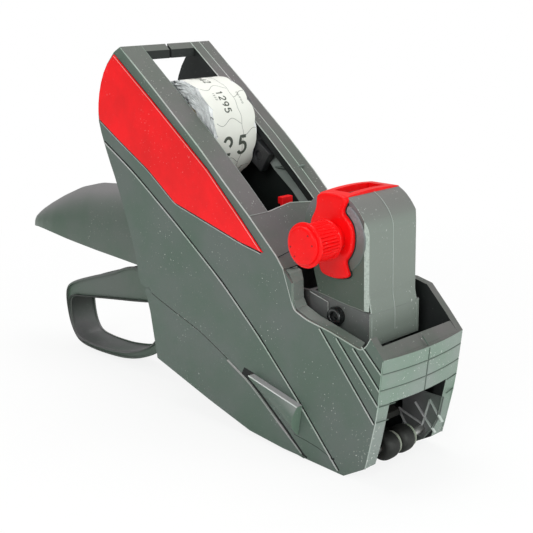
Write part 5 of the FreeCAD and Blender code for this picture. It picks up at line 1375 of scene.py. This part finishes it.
def pale_floor():
    """A flat sheet on z = 0 that reads as white to the camera and still takes the object's shadow."""
    mesh = bpy.data.meshes.new("floor")
    signs = ((-1, -1), (1, -1), (1, 1), (-1, 1))
    mesh.from_pydata([(x * FLOOR_HALF, y * FLOOR_HALF, 0) for x, y in signs], [], [(0, 1, 2, 3)])
    floor = bpy.data.objects.new("floor", mesh)
    bpy.context.collection.objects.link(floor)
    made = Finish("pale_floor")
    made.set(Base_Color=(0.90, 0.90, 0.90), Roughness=0.9, Specular_IOR_Level=0.0)
    plain = Value(made, made.shader.outputs[0])
    glow = made.node("ShaderNodeEmission", {}, {})
    seen = made.node("ShaderNodeLightPath", {}, {}, out="Is Camera Ray")
    span = made.node("ShaderNodeVectorMath", {"operation": "LENGTH"}, [made.place], out="Value")
    lift = seen * (span.above(*LIFT_SPAN) * (1 - FLOOR_LIFT) + FLOOR_LIFT)
    blend = made.node("ShaderNodeMixShader", {}, [lift, plain, glow])
    made.fill(made.tree.nodes["Material Output"].inputs[0], blend)
    dress(floor, made.material)


def soft_lamp(name, place, size, watts, colour):
    """A rectangular lamp that looks at the middle of the object."""
    lamp = bpy.data.lights.new(name, "AREA")
    lamp.shape = "RECTANGLE"
    lamp.size, lamp.size_y = size
    lamp.energy = watts
    lamp.color = colour
    holder = bpy.data.objects.new(name, lamp)
    holder.location = place
    holder.rotation_euler = (Vector(MIDDLE) - Vector(place)).to_track_quat("-Z", "Y").to_euler()
    bpy.context.collection.objects.link(holder)


def bright_world(strength, colour):
    """A soft sky that lights in its own colour and is plain white where the camera sees it."""
    world = bpy.data.worlds.new("studio")
    world.use_nodes = True
    tree = world.node_tree
    background = tree.nodes["Background"]
    background.inputs["Color"].default_value = (*colour, 1.0)
    background.inputs["Strength"].default_value = strength
    white = tree.nodes.new("ShaderNodeBackground")
    white.inputs["Color"].default_value = (1.0, 1.0, 1.0, 1.0)
    blend = tree.nodes.new("ShaderNodeMixShader")
    seen = tree.nodes.new("ShaderNodeLightPath")
    tree.links.new(seen.outputs["Is Camera Ray"], blend.inputs[0])
    tree.links.new(background.outputs[0], blend.inputs[1])
    tree.links.new(white.outputs[0], blend.inputs[2])
    tree.links.new(blend.outputs[0], tree.nodes["World Output"].inputs[0])
    bpy.context.scene.world = world


pale_floor()
bright_world(0.36, (0.93, 1.0, 0.96))
soft_lamp("key", (0.25, -0.75, 0.55), (0.6, 0.5), 4.0, (0.94, 1.0, 0.96))
soft_lamp("top", (-0.25, 0.10, 0.95), (0.8, 0.5), 5.2, (1.0, 0.95, 0.97))
soft_lamp("front", (0.85, 0.15, 0.35), (0.5, 0.5), 3.6, (0.94, 1.0, 0.96))
bpy.context.scene.view_settings.view_transform = "Standard"
print("lamps:", len(bpy.data.lights))

# %% Camera
CAMERA_PLACE = Vector((0.2301, -0.2697, 0.1641))
CAMERA_AZIMUTH = math.radians(46.0)
CAMERA_ELEVATION = math.radians(15.04)
CAMERA_ROLL = math.radians(-1.16)
LENS = 71.28


def photo_camera():
    """The camera looks along minus back; right and up are turned by the small roll of the photograph."""
    back = Vector((math.sin(CAMERA_AZIMUTH) * math.cos(CAMERA_ELEVATION),
                   -math.cos(CAMERA_AZIMUTH) * math.cos(CAMERA_ELEVATION), math.sin(CAMERA_ELEVATION)))
    level = Vector((0, 0, 1)).cross(back).normalized()
    rise = back.cross(level)
    right = level * math.cos(CAMERA_ROLL) + rise * math.sin(CAMERA_ROLL)
    up = rise * math.cos(CAMERA_ROLL) - level * math.sin(CAMERA_ROLL)
    data = bpy.data.cameras.new("photo")
    data.lens = LENS
    data.sensor_width = 36.0
    data.clip_start = 0.01
    camera = bpy.data.objects.new("photo", data)
    camera.matrix_world = Matrix((
        (right.x, up.x, back.x, CAMERA_PLACE.x), (right.y, up.y, back.y, CAMERA_PLACE.y),
        (right.z, up.z, back.z, CAMERA_PLACE.z), (0, 0, 0, 1),
    ))
    bpy.context.collection.objects.link(camera)
    bpy.context.scene.camera = camera


photo_camera()
print("camera:", tuple(round(x, 4) for x in CAMERA_PLACE), "lens", LENS)
